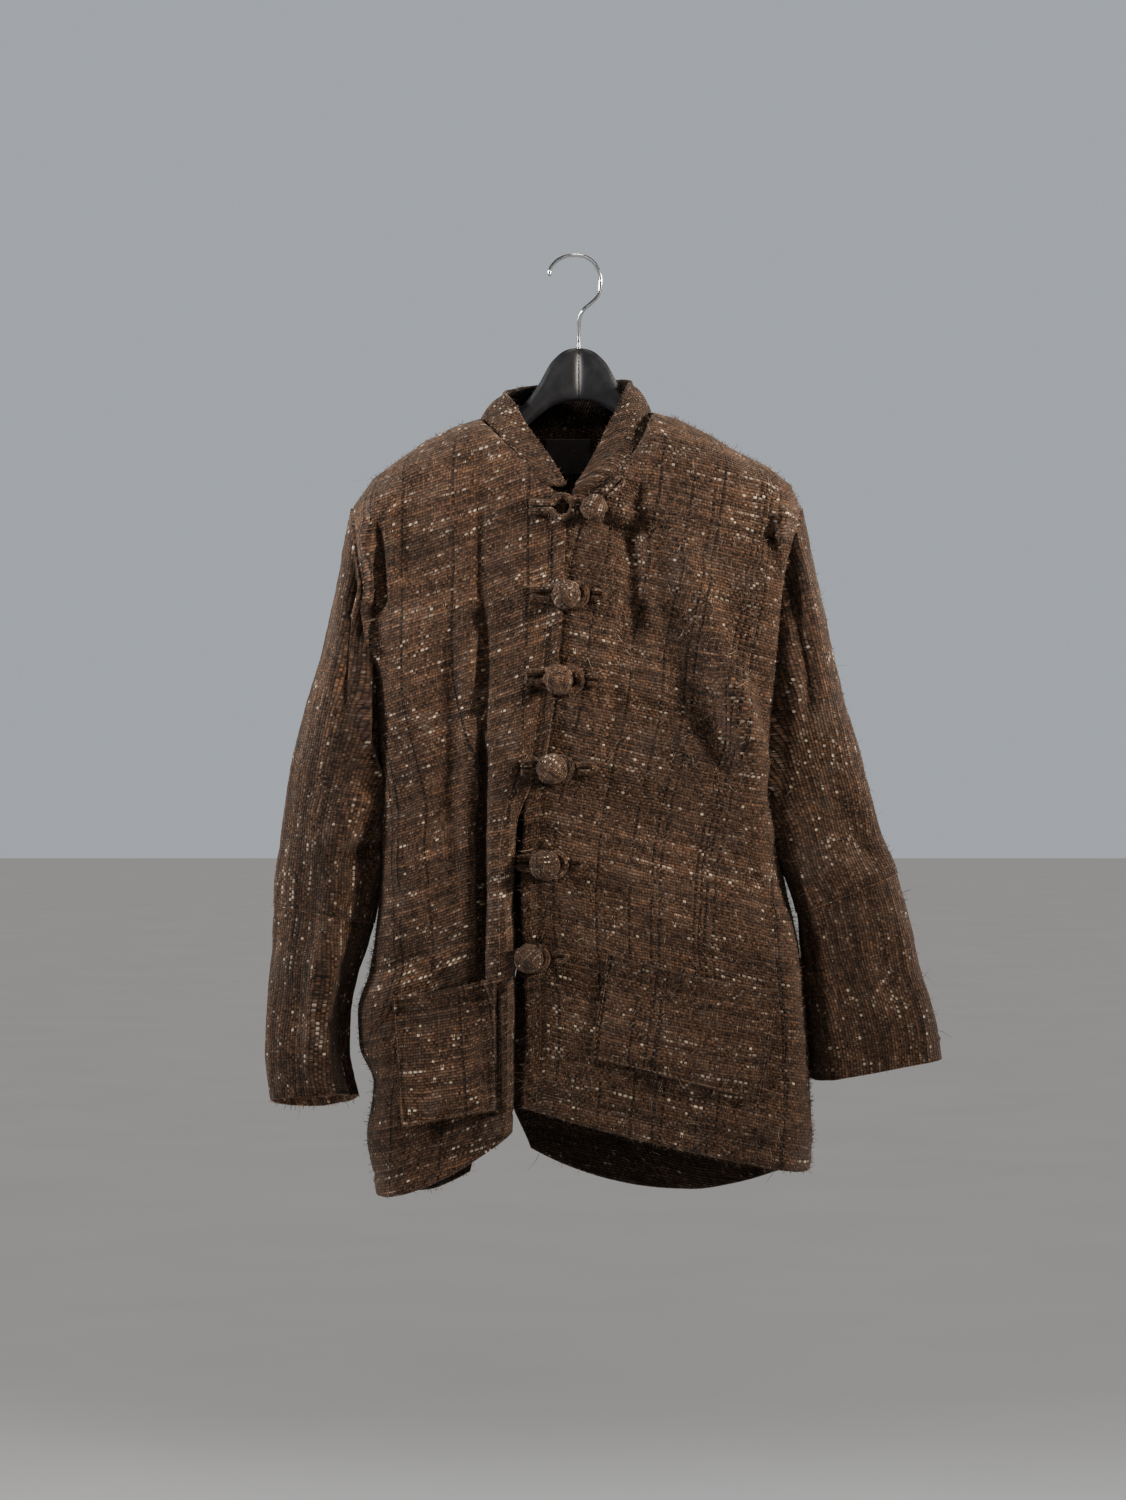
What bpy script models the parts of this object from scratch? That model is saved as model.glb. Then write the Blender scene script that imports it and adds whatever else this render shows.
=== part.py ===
"""Straight hand-woven jacket with a stand collar and ball-and-loop closings, on a coat hanger.

Metres, +Z up. +X is to the right and +Y away from someone who faces the jacket's front.
The origin is the inside top of the hook, where it rests on a rod. The tables hold
millimetres from that origin, a row for each level down the cloth or around the neck.
Left and right in the names are the wearer's, so the right front is at -X.
"""

import math

import bmesh
import bpy
from mathutils import Matrix, Vector
from mathutils.bvhtree import BVHTree

MM = 0.001
SEAM_GAP = 0.3 * MM
NECK_GAP = 0.8 * MM
WALL = 3.0 * MM
COLLAR_WALL = 5.0 * MM
POCKET_WALL = 3.0 * MM
POCKET_GAP = 0.8 * MM  # room between a panel and what is sewn on it
CORD_GAP = 0.45 * MM

SHOULDER_ROLL = 50 * MM  # how far down the cloth takes to turn from the crest to its face
SIDE_ROLL = 42 * MM
ROLL_POWER = 2.2
ARMHOLE_DEPTH = 44 * MM  # half the armhole's width, front to back
ARMHOLE_ROWS = 10
CREST_LEVEL = 0.004  # one more row, just past the crest
SKIRT_ROWS = 11
YOKE = 0.4  # the share of the armhole's height above the first full row

# Down the side seams: v is 0 at the shoulder end, 1 at the underarm and 2 at the hem.
SIDE_COLUMNS = ("v", "x", "z")
SIDE_ROWS = {
    "right": (
        (0.0, -226, -252), (0.4, -214, -351), (0.7, -203, -426), (1.0, -199, -500),
        (1.15, -199, -567), (1.33, -200, -648), (1.5, -210, -724), (1.58, -221, -760),
        (1.67, -218, -800), (1.75, -205, -836), (1.86, -211, -885), (2.0, -201, -947),
    ),
    "left": (
        (0.0, 226, -252), (0.4, 206, -351), (0.7, 202, -426), (1.0, 199, -500),
        (1.08, 195, -534), (1.2, 202, -585), (1.33, 212, -640), (1.5, 226, -711),
        (1.67, 232, -782), (1.83, 236, -853), (1.93, 238, -893), (2.0, 234, -922),
    ),
}

# The top of each half, from the shoulder's end over the neck point to the centre: x, y, z.
FRONT_TOP = {
    "right": (
        (-226, 6, -252), (-206, 6, -224), (-182, 6, -206), (-153, 6, -186), (-122, 6, -171),
        (-98, 5, -164), (-88, -20, -174), (-77, -34, -186), (-53, -43, -210),
        (-37, -46, -231), (-10, -49, -246),
    ),
    "left": (
        (226, 6, -252), (216, 6, -231), (193, 6, -212), (163, 6, -197), (132, 6, -178),
        (101, 6, -163), (76, 5, -157), (68, -22, -180), (58, -36, -199), (35, -44, -225),
        (20, -45, -237), (-4, -45, -242),
    ),
}
BACK_NECK = {
    "right": ((-98, 6, -164), (-82, 30, -165), (-45, 44, -168), (-2, 47, -169)),
    "left": ((76, 6, -157), (63, 28, -162), (35, 43, -167), (-2, 47, -169)),
}

# The lines that shape a panel: where its face lies, a sharp valley, a soft ridge and the
# centre edge. A depth goes into the garment; out is away from the wearer.
PANEL_COLUMNS = (
    "v", "face", "valley_x", "valley_depth", "ridge_x", "ridge_out",
    "edge_x", "edge_out", "edge_z", "sag",
)
PANELS = {
    "front_right": (
        (0.0, 46, -98, 0, -53, 0, -10, 0, -246, 0),
        (0.4, 46, -93, 0, -47, 2, -12, 49.6, -300, 0),
        (0.7, 52, -94, 3, -46, 6, -15, 55.6, -368, 0),
        (1.0, 57, -96, 12, -53, 11, -21, 60.6, -430, -3),
        (1.15, 61, -96, 22, -63, 14, -29, 65.6, -497, -5),
        (1.25, 63, -96, 26, -66, 15, -48, 69, -540, -6),
        (1.33, 65, -97, 28, -68, 16, -60, 67, -575, -7),
        (1.5, 69, -97, 28, -72, 16, -63, 62, -650, -8),
        (1.58, 71, -97, 24, -71, 16, -62, 63, -686, -8),
        (1.67, 73, -97, 5, -69, 16, -62, 65, -728, -9),
        (1.75, 76, -97, 0, -69, 15, -62, 67, -765, -10),
        (1.86, 79, -98, 0, -69, 14, -62, 70, -815, -11),
        (2.0, 82, -99, 0, -71, 12, -65, 74, -879, -12),
    ),
    "front_left": (
        (0.0, 45, 76, 0, 20, 0, -4, 0, -242, 0),
        (0.4, 45, 58, 6, 16, 0, -17, 44, -290, 0),
        (0.7, 52, 60, 5, 14, 0, -28, 50, -355, 0),
        (1.0, 57, 64, 2, 12, 0, -33, 55, -418, 0),
        (1.08, 59, 65, 0, 12, 0, -38, 57, -450, -1),
        (1.2, 62, 66, 0, 12, 1, -46, 60, -503, -2),
        (1.33, 65, 67, 0, 12, 1, -53, 62, -561, -3),
        (1.5, 69, 68, 0, 12, 1, -56, 66, -636, -4),
        (1.67, 73, 68, 0, 12, 1, -53, 70, -710, -5),
        (1.83, 77, 68, 0, 12, 2, -51, 74, -780, -5),
        (1.93, 79, 68, 0, 12, 2, -54, 76, -824, -5),
        (2.0, 81, 68, 0, 12, 2, -56, 78, -854, -5),
    ),
    "back_right": (
        (0.0, 38, -98, 0, -50, 0, -2, 0, -169, 0),
        (0.4, 40, -104, 2, -56, 2, -8, 42, -285, 0),
        (0.7, 48, -112, 5, -62, 4, -14, 50, -355, 0),
        (1.0, 54, -118, 8, -68, 6, -20, 56, -425, 0),
        (1.25, 62, -124, 10, -80, 8, -34, 64, -535, 0),
        (1.5, 69, -130, 11, -94, 9, -48, 71, -645, -2),
        (1.67, 74, -134, 11, -104, 9, -62, 76, -722, -4),
        (1.75, 76, -136, 10, -110, 8, -72, 78, -760, -6),
        (1.86, 79, -140, 9, -122, 7, -88, 80, -842, -9),
        (2.0, 81, -148, 8, -134, 6, -110, 82, -934, -12),
    ),
    "back_left": (
        (0.0, 38, 76, 0, 40, 0, -2, 0, -169, 0),
        (0.4, 40, 92, 2, 44, 2, -8, 42, -285, 0),
        (0.7, 48, 100, 5, 48, 4, -14, 50, -355, 0),
        (1.0, 54, 106, 8, 50, 6, -20, 56, -425, 0),
        (1.25, 62, 112, 10, 46, 9, -34, 64, -535, -2),
        (1.5, 70, 118, 12, 42, 11, -48, 71, -645, -6),
        (1.67, 75, 122, 12, 40, 12, -61, 76, -722, -10),
        (1.75, 77, 124, 12, 40, 12, -67, 78, -760, -14),
        (1.86, 80, 126, 10, 42, 10, -64, 80, -836, -24),
        (2.0, 82, 128, 8, 46, 8, -47, 82, -910, -36),
    ),
}
FRONT_VALLEY_WIDTH = 6 * MM
BACK_VALLEY_WIDTH = 16 * MM
VALLEY_WIDTH = {
    "front_right": FRONT_VALLEY_WIDTH, "front_left": 12 * MM,
    "back_right": BACK_VALLEY_WIDTH, "back_left": BACK_VALLEY_WIDTH,
}

# Drag lines across a panel: from one end to the other, how far they stand out, and their
# half width, as x0, z0, x1, z1, out, width. A minus sign is a trough.
FOLDS = {
    "front_right": (
        (-206, -300, -190, -420, -7, 9),
        (-190, -290, -176, -470, 5, 12),
        (-160, -430, -150, -700, 4, 18),
        (-205, -720, -150, -705, -6, 14),
        (-208, -830, -150, -800, -5, 14),
    ),
    "front_left": (
        (192, -275, 200, -330, -8, 9),
        (28, -275, 60, -290, -6, 12),
        (150, -420, 185, -540, 8, 18),
        (176, -420, 192, -500, -6, 12),
        (120, -500, 196, -620, 5, 20),
        (60, -835, 190, -860, -5, 16),
    ),
    "back_right": (
        (-196, -320, -176, -470, -7, 12),
        (-150, -300, -60, -250, 4, 16),
        (-190, -620, -150, -900, 7, 18),
    ),
    "back_left": (
        (196, -320, 174, -480, -7, 12),
        (150, -300, 50, -250, 4, 16),
        (190, -600, 200, -880, 7, 20),
        (76, -480, 90, -900, 6, 20),
    ),
}

# Where the columns of points lie between one line of a panel and the next.
NEAR_SIDE = (0.0, 0.012, 0.045, 0.12)
SOFT_SPANS = ((*NEAR_SIDE, 0.24, 0.42, 0.62, 0.82, 1.0), (0.33, 0.66, 1.0), (0.3, 0.6, 1.0))
SPANS = {
    "front_right": (
        (*NEAR_SIDE, 0.21, 0.35, 0.53, 0.72, 0.88, 0.95, 1.0),
        (0.12, 0.35, 0.66, 1.0), (0.3, 0.6, 1.0),
    ),
    "front_left": SOFT_SPANS,
    "back_right": SOFT_SPANS,
    "back_left": SOFT_SPANS,
}

# A sleeve's rings: the outer and inner points, how far along from outer to inner the front
# ridge stands, its front and back and how square it is.
SLEEVE_COLUMNS = (
    "t", "outer_x", "outer_z", "inner_x", "inner_z", "ridge", "front_y", "back_y", "square",
)
SLEEVES = {
    "right": (
        (0.0, -226, -252, -200, -500, 0.5, -44, 44, 1.0),
        (0.08, -234, -300, -202, -512, 0.5, -46, 44, 0.95),
        (0.18, -244, -352, -203, -528, 0.52, -46, 44, 0.92),
        (0.32, -264, -430, -203.5, -556, 0.54, -46, 44, 0.9),
        (0.48, -286, -512, -203.5, -592, 0.56, -46, 42, 0.9),
        (0.64, -298, -590, -203.5, -632, 0.58, -48, 40, 0.9),
        (0.75, -304, -652, -207, -672, 0.6, -50, 38, 0.9),
        (0.86, -307, -730, -228, -745, 0.64, -52, 38, 0.9),
        (0.94, -311, -800, -233, -802, 0.68, -54, 40, 0.9),
        (1.0, -307, -853, -222, -848, 0.64, -52, 44, 0.92),
    ),
    "left": (
        (0.0, 226, -252, 200, -500, 0.5, -44, 44, 1.0),
        (0.08, 234, -298, 202, -512, 0.55, -46, 42, 0.9),
        (0.18, 246, -350, 204, -526, 0.62, -46, 38, 0.85),
        (0.32, 266, -440, 202.5, -552, 0.7, -44, 32, 0.8),
        (0.48, 290, -525, 206, -588, 0.76, -42, 26, 0.76),
        (0.64, 308, -592, 214, -628, 0.8, -41, 22, 0.74),
        (0.72, 320, -616, 222.5, -656, 0.82, -41, 20, 0.74),
        (0.84, 344, -715, 233, -738, 0.84, -42, 18, 0.74),
        (0.94, 362, -778, 238.5, -800, 0.84, -43, 20, 0.76),
        (1.0, 366, -812, 242, -832, 0.8, -43, 24, 0.8),
    ),
}
SLEEVE_RINGS = (0.0, 0.035, 0.08, 0.13, 0.19, 0.26, 0.34, 0.43, 0.52, 0.61, 0.68, 0.74)
SLEEVE_SEAM = {"right": 0.755, "left": 0.735}
LOWER_RINGS = (0.0, 0.06, 0.2, 0.38, 0.56, 0.74, 0.88, 1.0)
ARMHOLE_BLEND = 0.3
CROTCH_GAP = 3.0 * MM
SEAM_RIDGE = 1.6 * MM  # the lower sleeve's top stands out a little at its seam

# The collar's top edge, by how far round the neck it is: 0 at the right front's edge, 2 at
# the right neck point, 4 at the centre back, 6 at the left neck point, 8 at the left edge.
COLLAR_COLUMNS = ("round", "top_x", "top_y", "top_z")
COLLAR_ROWS = (
    (0.4, -9, -45, -233),
    (0.75, -22, -36, -211),
    (1.0, -31, -29, -197),
    (1.5, -51, -17, -168),
    (1.75, -61, -10, -149),
    (2.0, -72, 6, -136),
    (2.5, -62, 25, -130),
    (3.0, -42, 36, -126),
    (4.0, -4, 41, -124),
    (5.0, 28, 37, -122),
    (5.5, 43, 25, -121),
    (6.0, 54, 2, -125),
    (6.12, 50, -9, -131),
    (6.3, 42, -19, -148),
    (6.52, 31, -24, -170),
    (6.75, 21, -31, -192),
    (7.0, 11, -37, -211),
    (7.5, 3, -42, -225),
    (8.0, -2, -44, -232),
)
COLLAR_START = 0.4
COLLAR_BULGE = 3.5 * MM
COLLAR_ACROSS = (0.0, 0.3, 0.68, 1.0)

# Patch pockets by their corners' x and z on the front: top outer, top inner, bottom inner,
# bottom outer. The top edge dips between them.
POCKETS = {
    "pocket_left": ((201, -738), (30, -701), (13, -804), (183, -848)),
    "pocket_right": ((-184, -743), (-80, -724), (-80, -856), (-174, -874)),
}
POCKET_CELLS = (12, 6)
POCKET_DIP = 3 * MM

# The closings, from the neck down: the ball's centre and width, where its shank stands, the
# loop's sewn end and its reach past the ball, and the tail's end.
CLOSING_COLUMNS = (
    "x", "z", "wide", "foot_x", "foot_z", "loop_x", "loop_z", "reach", "tail_x", "tail_z",
)
CLOSINGS = (
    (17, -257, 28, 22, -255, -48, -250, None, 44, -229),
    (-11, -344, 31, -2, -344, -47, -343, 20, 26, -345),
    (-19, -429, 31, -9, -429, -53, -426, 23, 22, -430),
    (-25, -518, 32, -16, -518, -56, -517, 19, 16, -517),
    (-32, -613, 32, -22, -613, -60, -611, 20, 4, -612),
    (-48, -706, 30, -38, -706, -62, -704, 18, -12, -704),
)
OPEN_LOOP = (-15, -256, 11)  # the unfastened loop's middle and radius
CORD = 8.0 * MM
TAIL_CORD = 7.0 * MM
CORD_SIDES = 6
CORD_STEP = 6.5 * MM
TAIL_STEP = 5.0 * MM
WIRE_SIDES = 8
BALL_SIDES = 12
BALL_DEPTH = 0.86  # a ball's depth as a share of its width
BALL_RISE = 0.38  # how far its middle stands before the loop, as a share of its width
BALL_COVERS = 0.7  # it clears its loop this far from its middle, as a share of its width
SHANK = 4.5 * MM

LABEL = ((-32, -181), (14, -218))
LABEL_WALL = 1.0 * MM

# The hanger by its distance from the middle: its top before it meets the shoulders' inside,
# its underside, half its thickness and how far back its middle lies, in that order.
HANGER_X = 2 * MM
HANGER_ROWS = (
    (0, -91, -144, 6.5, 9.0),
    (6, -91.6, -144.5, 7.2, 8.6),
    (14, -94, -146, 8, 8.4),
    (27, -105, -151, 8.8, 8.2),
    (41, -129, -161, 9.5, 8.0),
    (52, -145, -171, 10, 8.0),
    (64, -156, -181, 10.5, 7.8),
    (72, -163, -186, 11, 7.5),
    (84, -168, -193, 12, 6.0),
    (110, -172, -205, 14.5, 4.0),
    (140, -182, -221, 17, 2.0),
    (170, -196, -238, 18.5, 0.5),
    (188, -207, -250, 18, -0.5),
    (198, -217, -255, 14, -1.0),
    (203, -228, -250, 7, -1.0),
)
HANGER_SIDES = 12
HANGER_TILT = 0.018  # its left arm hangs lower, by this much for each unit out
UNDER_CLOTH = 5.0 * MM  # from the shoulders' outer crest down to the hanger
NECK_SPAN = (-94 * MM, 71 * MM)  # the hanger is open to the air between these
HOOK_WIRE = 1.9 * MM
HOOK_BORE = 2.2 * MM
HOOK_SINK = 18 * MM
# The hook's wire from its tip down to the hanger: x, z.
HOOK_ROWS = (
    (-27.5, -19), (-27, -12), (-20, -3.5), (-11, 0.8), (-1, 1.9), (9, 0.2), (18, -6.5),
    (23, -17), (24, -28), (21.5, -39), (14, -47), (7, -53), (3, -61), (2, -71), (2, -90),
)
HOOK_STEP = 5.0 * MM
CURVE_STEPS = 12  # points between two given ones, before a path is read at even steps

COLOURS = {
    "tweed": ((0.115, 0.066, 0.042), 0.95, 0.0),
    "label": ((0.05, 0.032, 0.026), 0.8, 0.0),
    "hanger": ((0.012, 0.012, 0.014), 0.35, 0.0),
    "hook": ((0.75, 0.75, 0.77), 0.18, 1.0),
}


def clear_scene():
    for item in list(bpy.data.objects):
        bpy.data.objects.remove(item, do_unlink=True)


def make_material(name):
    colour, roughness, metallic = COLOURS[name]
    material = bpy.data.materials.new(name)
    material.use_nodes = True
    shader = material.node_tree.nodes["Principled BSDF"]
    shader.inputs["Base Color"].default_value = (*colour, 1.0)
    shader.inputs["Roughness"].default_value = roughness
    shader.inputs["Metallic"].default_value = metallic
    return material


def mix(a, b, t):
    return a + (b - a) * t


def ease(t):
    t = min(max(t, 0.0), 1.0)
    return t * t * (3 - 2 * t)


def roll(t):
    """From 0 to 1 along a quarter of a rounded box."""
    t = min(max(t, 0.0), 1.0)
    return (1 - (1 - t) ** ROLL_POWER) ** (1 / ROLL_POWER)


def read(rows, columns, name, at):
    """A smooth value of the named column, where the first column of the table is at."""
    keys = [row[0] for row in rows]
    values = [row[columns.index(name)] for row in rows]
    last = len(keys) - 1
    at = min(max(at, keys[0]), keys[last])
    i = max(k for k in range(last) if keys[k] <= at or k == 0)

    def slope(k):
        if k in (0, last):
            j = min(k, last - 1)
            return (values[j + 1] - values[j]) / (keys[j + 1] - keys[j])
        before = (values[k] - values[k - 1]) / (keys[k] - keys[k - 1])
        after = (values[k + 1] - values[k]) / (keys[k + 1] - keys[k])
        return 0.0 if before * after <= 0 else 2 * before * after / (before + after)

    span = keys[i + 1] - keys[i]
    t = (at - keys[i]) / span
    a, b = values[i], values[i + 1]
    bend = t * t * (3 - 2 * t)
    rise = t * (1 - t) ** 2 * slope(i) * span
    fall = t * t * (1 - t) * slope(i + 1) * span
    return a + (b - a) * bend + rise - fall


def along(points, at_x):
    """The y and z of a chain of points at a given x, in straight steps."""
    for (x0, y0, z0), (x1, y1, z1) in zip(points, points[1:]):
        if min(x0, x1) <= at_x <= max(x0, x1):
            t = (at_x - x0) / (x1 - x0)
            return mix(y0, y1, t), mix(z0, z1, t)
    end = min(points, key=lambda p: abs(p[0] - at_x))
    return end[1], end[2]


def top_line(panel):
    """The top of a panel, from the shoulder's end to the centre."""
    side = panel.split("_")[1]
    if panel.startswith("front"):
        return FRONT_TOP[side]
    neck = BACK_NECK[side]
    shoulder = [(x, y + 0.5, z) for x, y, z in FRONT_TOP[side] if y > 5.5]
    return (*shoulder, *neck)


def fold_height(panel, x, z):
    """How far the drag lines lift the cloth at a point, in millimetres."""
    height = 0.0
    for x0, z0, x1, z1, out, width in FOLDS[panel]:
        dx, dz = x1 - x0, z1 - z0
        length = math.hypot(dx, dz)
        t = ((x - x0) * dx + (z - z0) * dz) / length**2
        off = abs((x - x0) * dz - (z - z0) * dx) / length
        fade = ease(min(t, 1 - t) / 0.3 + 0.35)
        height += out * fade * math.exp(-((off / width) ** 2))
    return height


def armhole_y(v, front):
    """The armhole's edge, a rounded slot from the shoulder's end to the underarm."""
    if v >= 1:
        return 0.0
    middle = 1 - abs(2 * v - 1) ** ROLL_POWER
    depth = ARMHOLE_DEPTH * middle ** (1 / ROLL_POWER)
    return mix(6 * MM, 0.0, v) + (-depth if front else depth)


def panel_point(panel, u, v):
    """A point of a panel's outer face. u is 0 at the side, 1 at the valley, 2 at the ridge
    and 3 at the centre edge. v is 0 at the top, 1 at the underarm and 2 at the hem."""
    front = panel.startswith("front")
    side = panel.split("_")[1]
    rows, facing = PANELS[panel], -1 if front else 1

    def line(name, at):
        return read(rows, PANEL_COLUMNS, name, at)

    def level_x(at):
        stops = (
            read(SIDE_ROWS[side], SIDE_COLUMNS, "x", at),
            line("valley_x", at), line("ridge_x", at), line("edge_x", at),
        )
        i = min(int(u), 2)
        return mix(stops[i], stops[i + 1], u - i), stops

    def level_z(at):
        x, stops = level_x(at)
        w = (x - stops[0]) / (stops[3] - stops[0])
        side_z = read(SIDE_ROWS[side], SIDE_COLUMNS, "z", at)
        return mix(side_z, line("edge_z", at), w) + line("sag", at) * 4 * w * (1 - w)

    x, stops = level_x(v)
    shape_v = max(v, YOKE)
    if v < YOKE:
        top_y, top_z = along(top_line(panel), level_x(0)[0])
        z = mix(top_z, level_z(YOKE), v / YOKE)
        below = (top_z - z) * MM
    else:
        z = level_z(v)
        top_y, below = 0.0, SHOULDER_ROLL
    face = facing * line("face", shape_v)
    dx = abs(x - stops[1]) * MM
    depth = line("valley_depth", v) * math.exp(-((dx / VALLEY_WIDTH[panel]) ** 2))
    lift = line("ridge_out", v) * ease(u - 1) * (1 if u <= 2 else 1 - ease(u - 2))
    y = face + facing * (lift - depth + fold_height(panel, x, z))
    if u > 2:
        y = mix(y, facing * line("edge_out", shape_v), ease(u - 2))
    y = mix(top_y, y, roll(below / SHOULDER_ROLL)) * MM
    side_y = armhole_y(v, front)
    y = mix(side_y, y, roll(abs(x - stops[0]) * MM / SIDE_ROLL))
    return Vector((x * MM, y, z * MM))


def new_object(name, mesh, material):
    item = bpy.data.objects.new(name, mesh)
    mesh.materials.append(material)
    bpy.context.collection.objects.link(item)
    return item


def closed_mesh(name, points, faces, material, sharp=50):
    mesh = bpy.data.meshes.new(name)
    build = bmesh.new()
    corners = [build.verts.new(p) for p in points]
    for face in faces:
        build.faces.new([corners[i] for i in face])
    bmesh.ops.recalc_face_normals(build, faces=build.faces)
    build.to_mesh(mesh)
    build.free()
    mesh.shade_smooth()
    mesh.set_sharp_from_angle(angle=math.radians(sharp))
    return new_object(name, mesh, material)


def inward(grid, i, j, around):
    """The unit normal of a grid of points, by its neighbours."""
    rows, columns = len(grid), len(grid[0])
    down = grid[min(i + 1, rows - 1)][j] - grid[max(i - 1, 0)][j]
    if around:
        across = grid[i][(j + 1) % columns] - grid[i][(j - 1) % columns]
    else:
        across = grid[i][min(j + 1, columns - 1)] - grid[i][max(j - 1, 0)]
    return down.cross(across).normalized()


def wall(name, grid, thickness, material, turn=1, around=False, fixed=None):
    """A closed wall behind a grid of outer points. fixed gives the wall's direction at
    chosen points, so that two pieces meet face to face at a seam."""
    fixed = fixed or {}
    rows, columns = len(grid), len(grid[0])
    inner = []
    for i in range(rows):
        for j in range(columns):
            way = fixed.get((i, j)) or inward(grid, i, j, around) * turn
            inner.append(grid[i][j] + way * thickness)
    points = [p for row in grid for p in row] + inner
    count = rows * columns
    faces = []
    for i in range(rows - 1):
        for j in range(columns if around else columns - 1):
            k = (j + 1) % columns
            a, b = i * columns + j, i * columns + k
            c, d = b + columns, a + columns
            faces += [(a, b, c, d), (a + count, d + count, c + count, b + count)]
    rim = []
    for i in (0, rows - 1):
        for j in range(columns if around else columns - 1):
            rim.append((i * columns + j, i * columns + (j + 1) % columns))
    if not around:
        for j in (0, columns - 1):
            rim += [(i * columns + j, (i + 1) * columns + j) for i in range(rows - 1)]
    faces += [(a, b, b + count, a + count) for a, b in rim]
    return closed_mesh(name, points, faces, material)


def armhole_levels():
    even = [(1 - math.cos(math.pi * k / ARMHOLE_ROWS)) / 2 for k in range(ARMHOLE_ROWS + 1)]
    return [0.0, CREST_LEVEL, *even[1:]]


def panel_levels():
    skirt = [1 + (k + 1) / SKIRT_ROWS for k in range(SKIRT_ROWS)]
    return armhole_levels() + skirt


def panel_stations(panel):
    return [i + u for i, span in enumerate(SPANS[panel]) for u in span]


def seam_way(panel, u, v):
    """Which way the wall goes in at a panel's edges, shared with the piece beside it."""
    front, right = panel.startswith("front"), panel.endswith("right")
    into = 1 if front else -1
    across = 1 if right else -1
    if v == 0:
        if u <= 1:
            return Vector((0.15 * across, 0, -1)).normalized()
        point = panel_point(panel, u, 0)
        centre = Vector((-2 * MM, 0, point.z - 12 * MM))
        return (centre - point).normalized()
    if u == 3 and not front:
        return Vector((0, -1, 0))
    if u == 0 and v >= 1:
        return Vector((across, 0, 0))
    if u == 0:
        turned = math.sin(math.pi * v)
        drop = -0.5 * (1 - v) * (1 - turned)
        return Vector((0.8 * (1 - turned) * across, into * turned, drop)).normalized()
    return None


def panel_wall(panel, material):
    """One panel of the body, kept half a seam's gap back from its neighbours."""
    front, right = panel.startswith("front"), panel.endswith("right")
    across = 1 if right else -1
    grid, fixed = [], {}
    levels, stations = panel_levels(), panel_stations(panel)
    for i, v in enumerate(levels):
        row = []
        for j, u in enumerate(stations):
            point = panel_point(panel, u, v)
            if v == 0:
                point.y += (-SEAM_GAP if front else SEAM_GAP) / 2 if u <= 1 else 0
            if u == 0 and v > 0:
                point.y += -SEAM_GAP if front else SEAM_GAP
                point.x += SEAM_GAP * across * (1 if v < 1 else 0)
            if u == 3 and not front:
                point.x += -SEAM_GAP / 2 * across
            row.append(point)
            way = seam_way(panel, u, v)
            if way:
                fixed[(i, j)] = way
        grid.append(row)
    turn = 1 if front == right else -1
    return wall(panel, grid, WALL, material, turn=-turn, fixed=fixed)


def ring_point(side, t, angle):
    """A point of a sleeve's ring: 0 is the outer edge and a quarter round is the front."""
    rows = SLEEVES[side]
    value = {name: read(rows, SLEEVE_COLUMNS, name, t) for name in SLEEVE_COLUMNS[1:]}
    outer = Vector((value["outer_x"], 0, value["outer_z"]))
    inner = Vector((value["inner_x"], 0, value["inner_z"]))
    centre = outer.lerp(inner, value["ridge"])
    c, s = math.cos(angle), math.sin(angle)
    reach = (outer - centre) if c >= 0 else (inner - centre)
    depth = value["front_y"] if s >= 0 else value["back_y"]
    point = centre + reach * abs(c) ** value["square"]
    return (point + Vector((0, depth * abs(s) ** value["square"], 0))) * MM


def armhole_loop(side):
    """The panels' edge at the armhole: angle, level and point, round from the shoulder."""
    loop = []
    for v in armhole_levels():
        loop.append((math.acos(1 - 2 * v), v, panel_point(f"front_{side}", 0, v)))
    for v in armhole_levels()[-2:0:-1]:
        loop.append((2 * math.pi - math.acos(1 - 2 * v), v, panel_point(f"back_{side}", 0, v)))
    return loop


def sleeve_ring(side, t, loop):
    across = -1 if side == "right" else 1
    left = max(0.0, 1 - t / ARMHOLE_BLEND) ** 2
    ring = []
    for angle, v, edge in loop:
        start = edge + Vector((across * (SEAM_GAP + CROTCH_GAP * v**3), 0, 0))
        point = ring_point(side, t, angle)
        ring.append(point + (start - ring_point(side, 0, angle)) * left)
    return ring


def sleeve(side, material):
    """The upper sleeve, out of the armhole, and the lower one, pieced on below the elbow."""
    loop = armhole_loop(side)
    seam = SLEEVE_SEAM[side]
    turn = 1 if side == "right" else -1
    upper = [sleeve_ring(side, t * seam / SLEEVE_RINGS[-1], loop) for t in SLEEVE_RINGS]
    fixed = {}
    for k, (angle, v, _) in enumerate(loop):
        panel = f"front_{side}" if angle <= math.pi else f"back_{side}"
        if v < 1:
            fixed[(0, k)] = seam_way(panel, 0, v)
    wall(f"sleeve_{side}_upper", upper, WALL, material, turn=turn, around=True, fixed=fixed)
    lower = []
    for share in LOWER_RINGS:
        ring = sleeve_ring(side, mix(seam, 1, share), loop)
        middle = sum(ring, Vector()) / len(ring)
        drop = SEAM_GAP if share == 0 else 0
        swell = SEAM_RIDGE * (1 - ease(share / 0.2))
        lower.append([p + (p - middle).normalized() * swell - Vector((0, 0, drop)) for p in ring])
    wall(f"sleeve_{side}_lower", lower, WALL, material, turn=turn, around=True)


def neck_points():
    """The neck seam from the right front round to the left, as the panels have it."""
    runs = (("front_right", 0, -1), ("back_right", 2, 1), ("back_left", 4, -1), ("front_left", 6, 1))
    for panel, start, way in runs:
        stations = [u for u in panel_stations(panel) if u >= 1]
        for u in stations[::way]:
            at = start + (u - 1 if way > 0 else 3 - u)
            if at >= COLLAR_START and (panel == "front_right" or at > start + 1e-6):
                yield at, panel_point(panel, u, 0) + Vector((0, 0, NECK_GAP))


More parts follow.
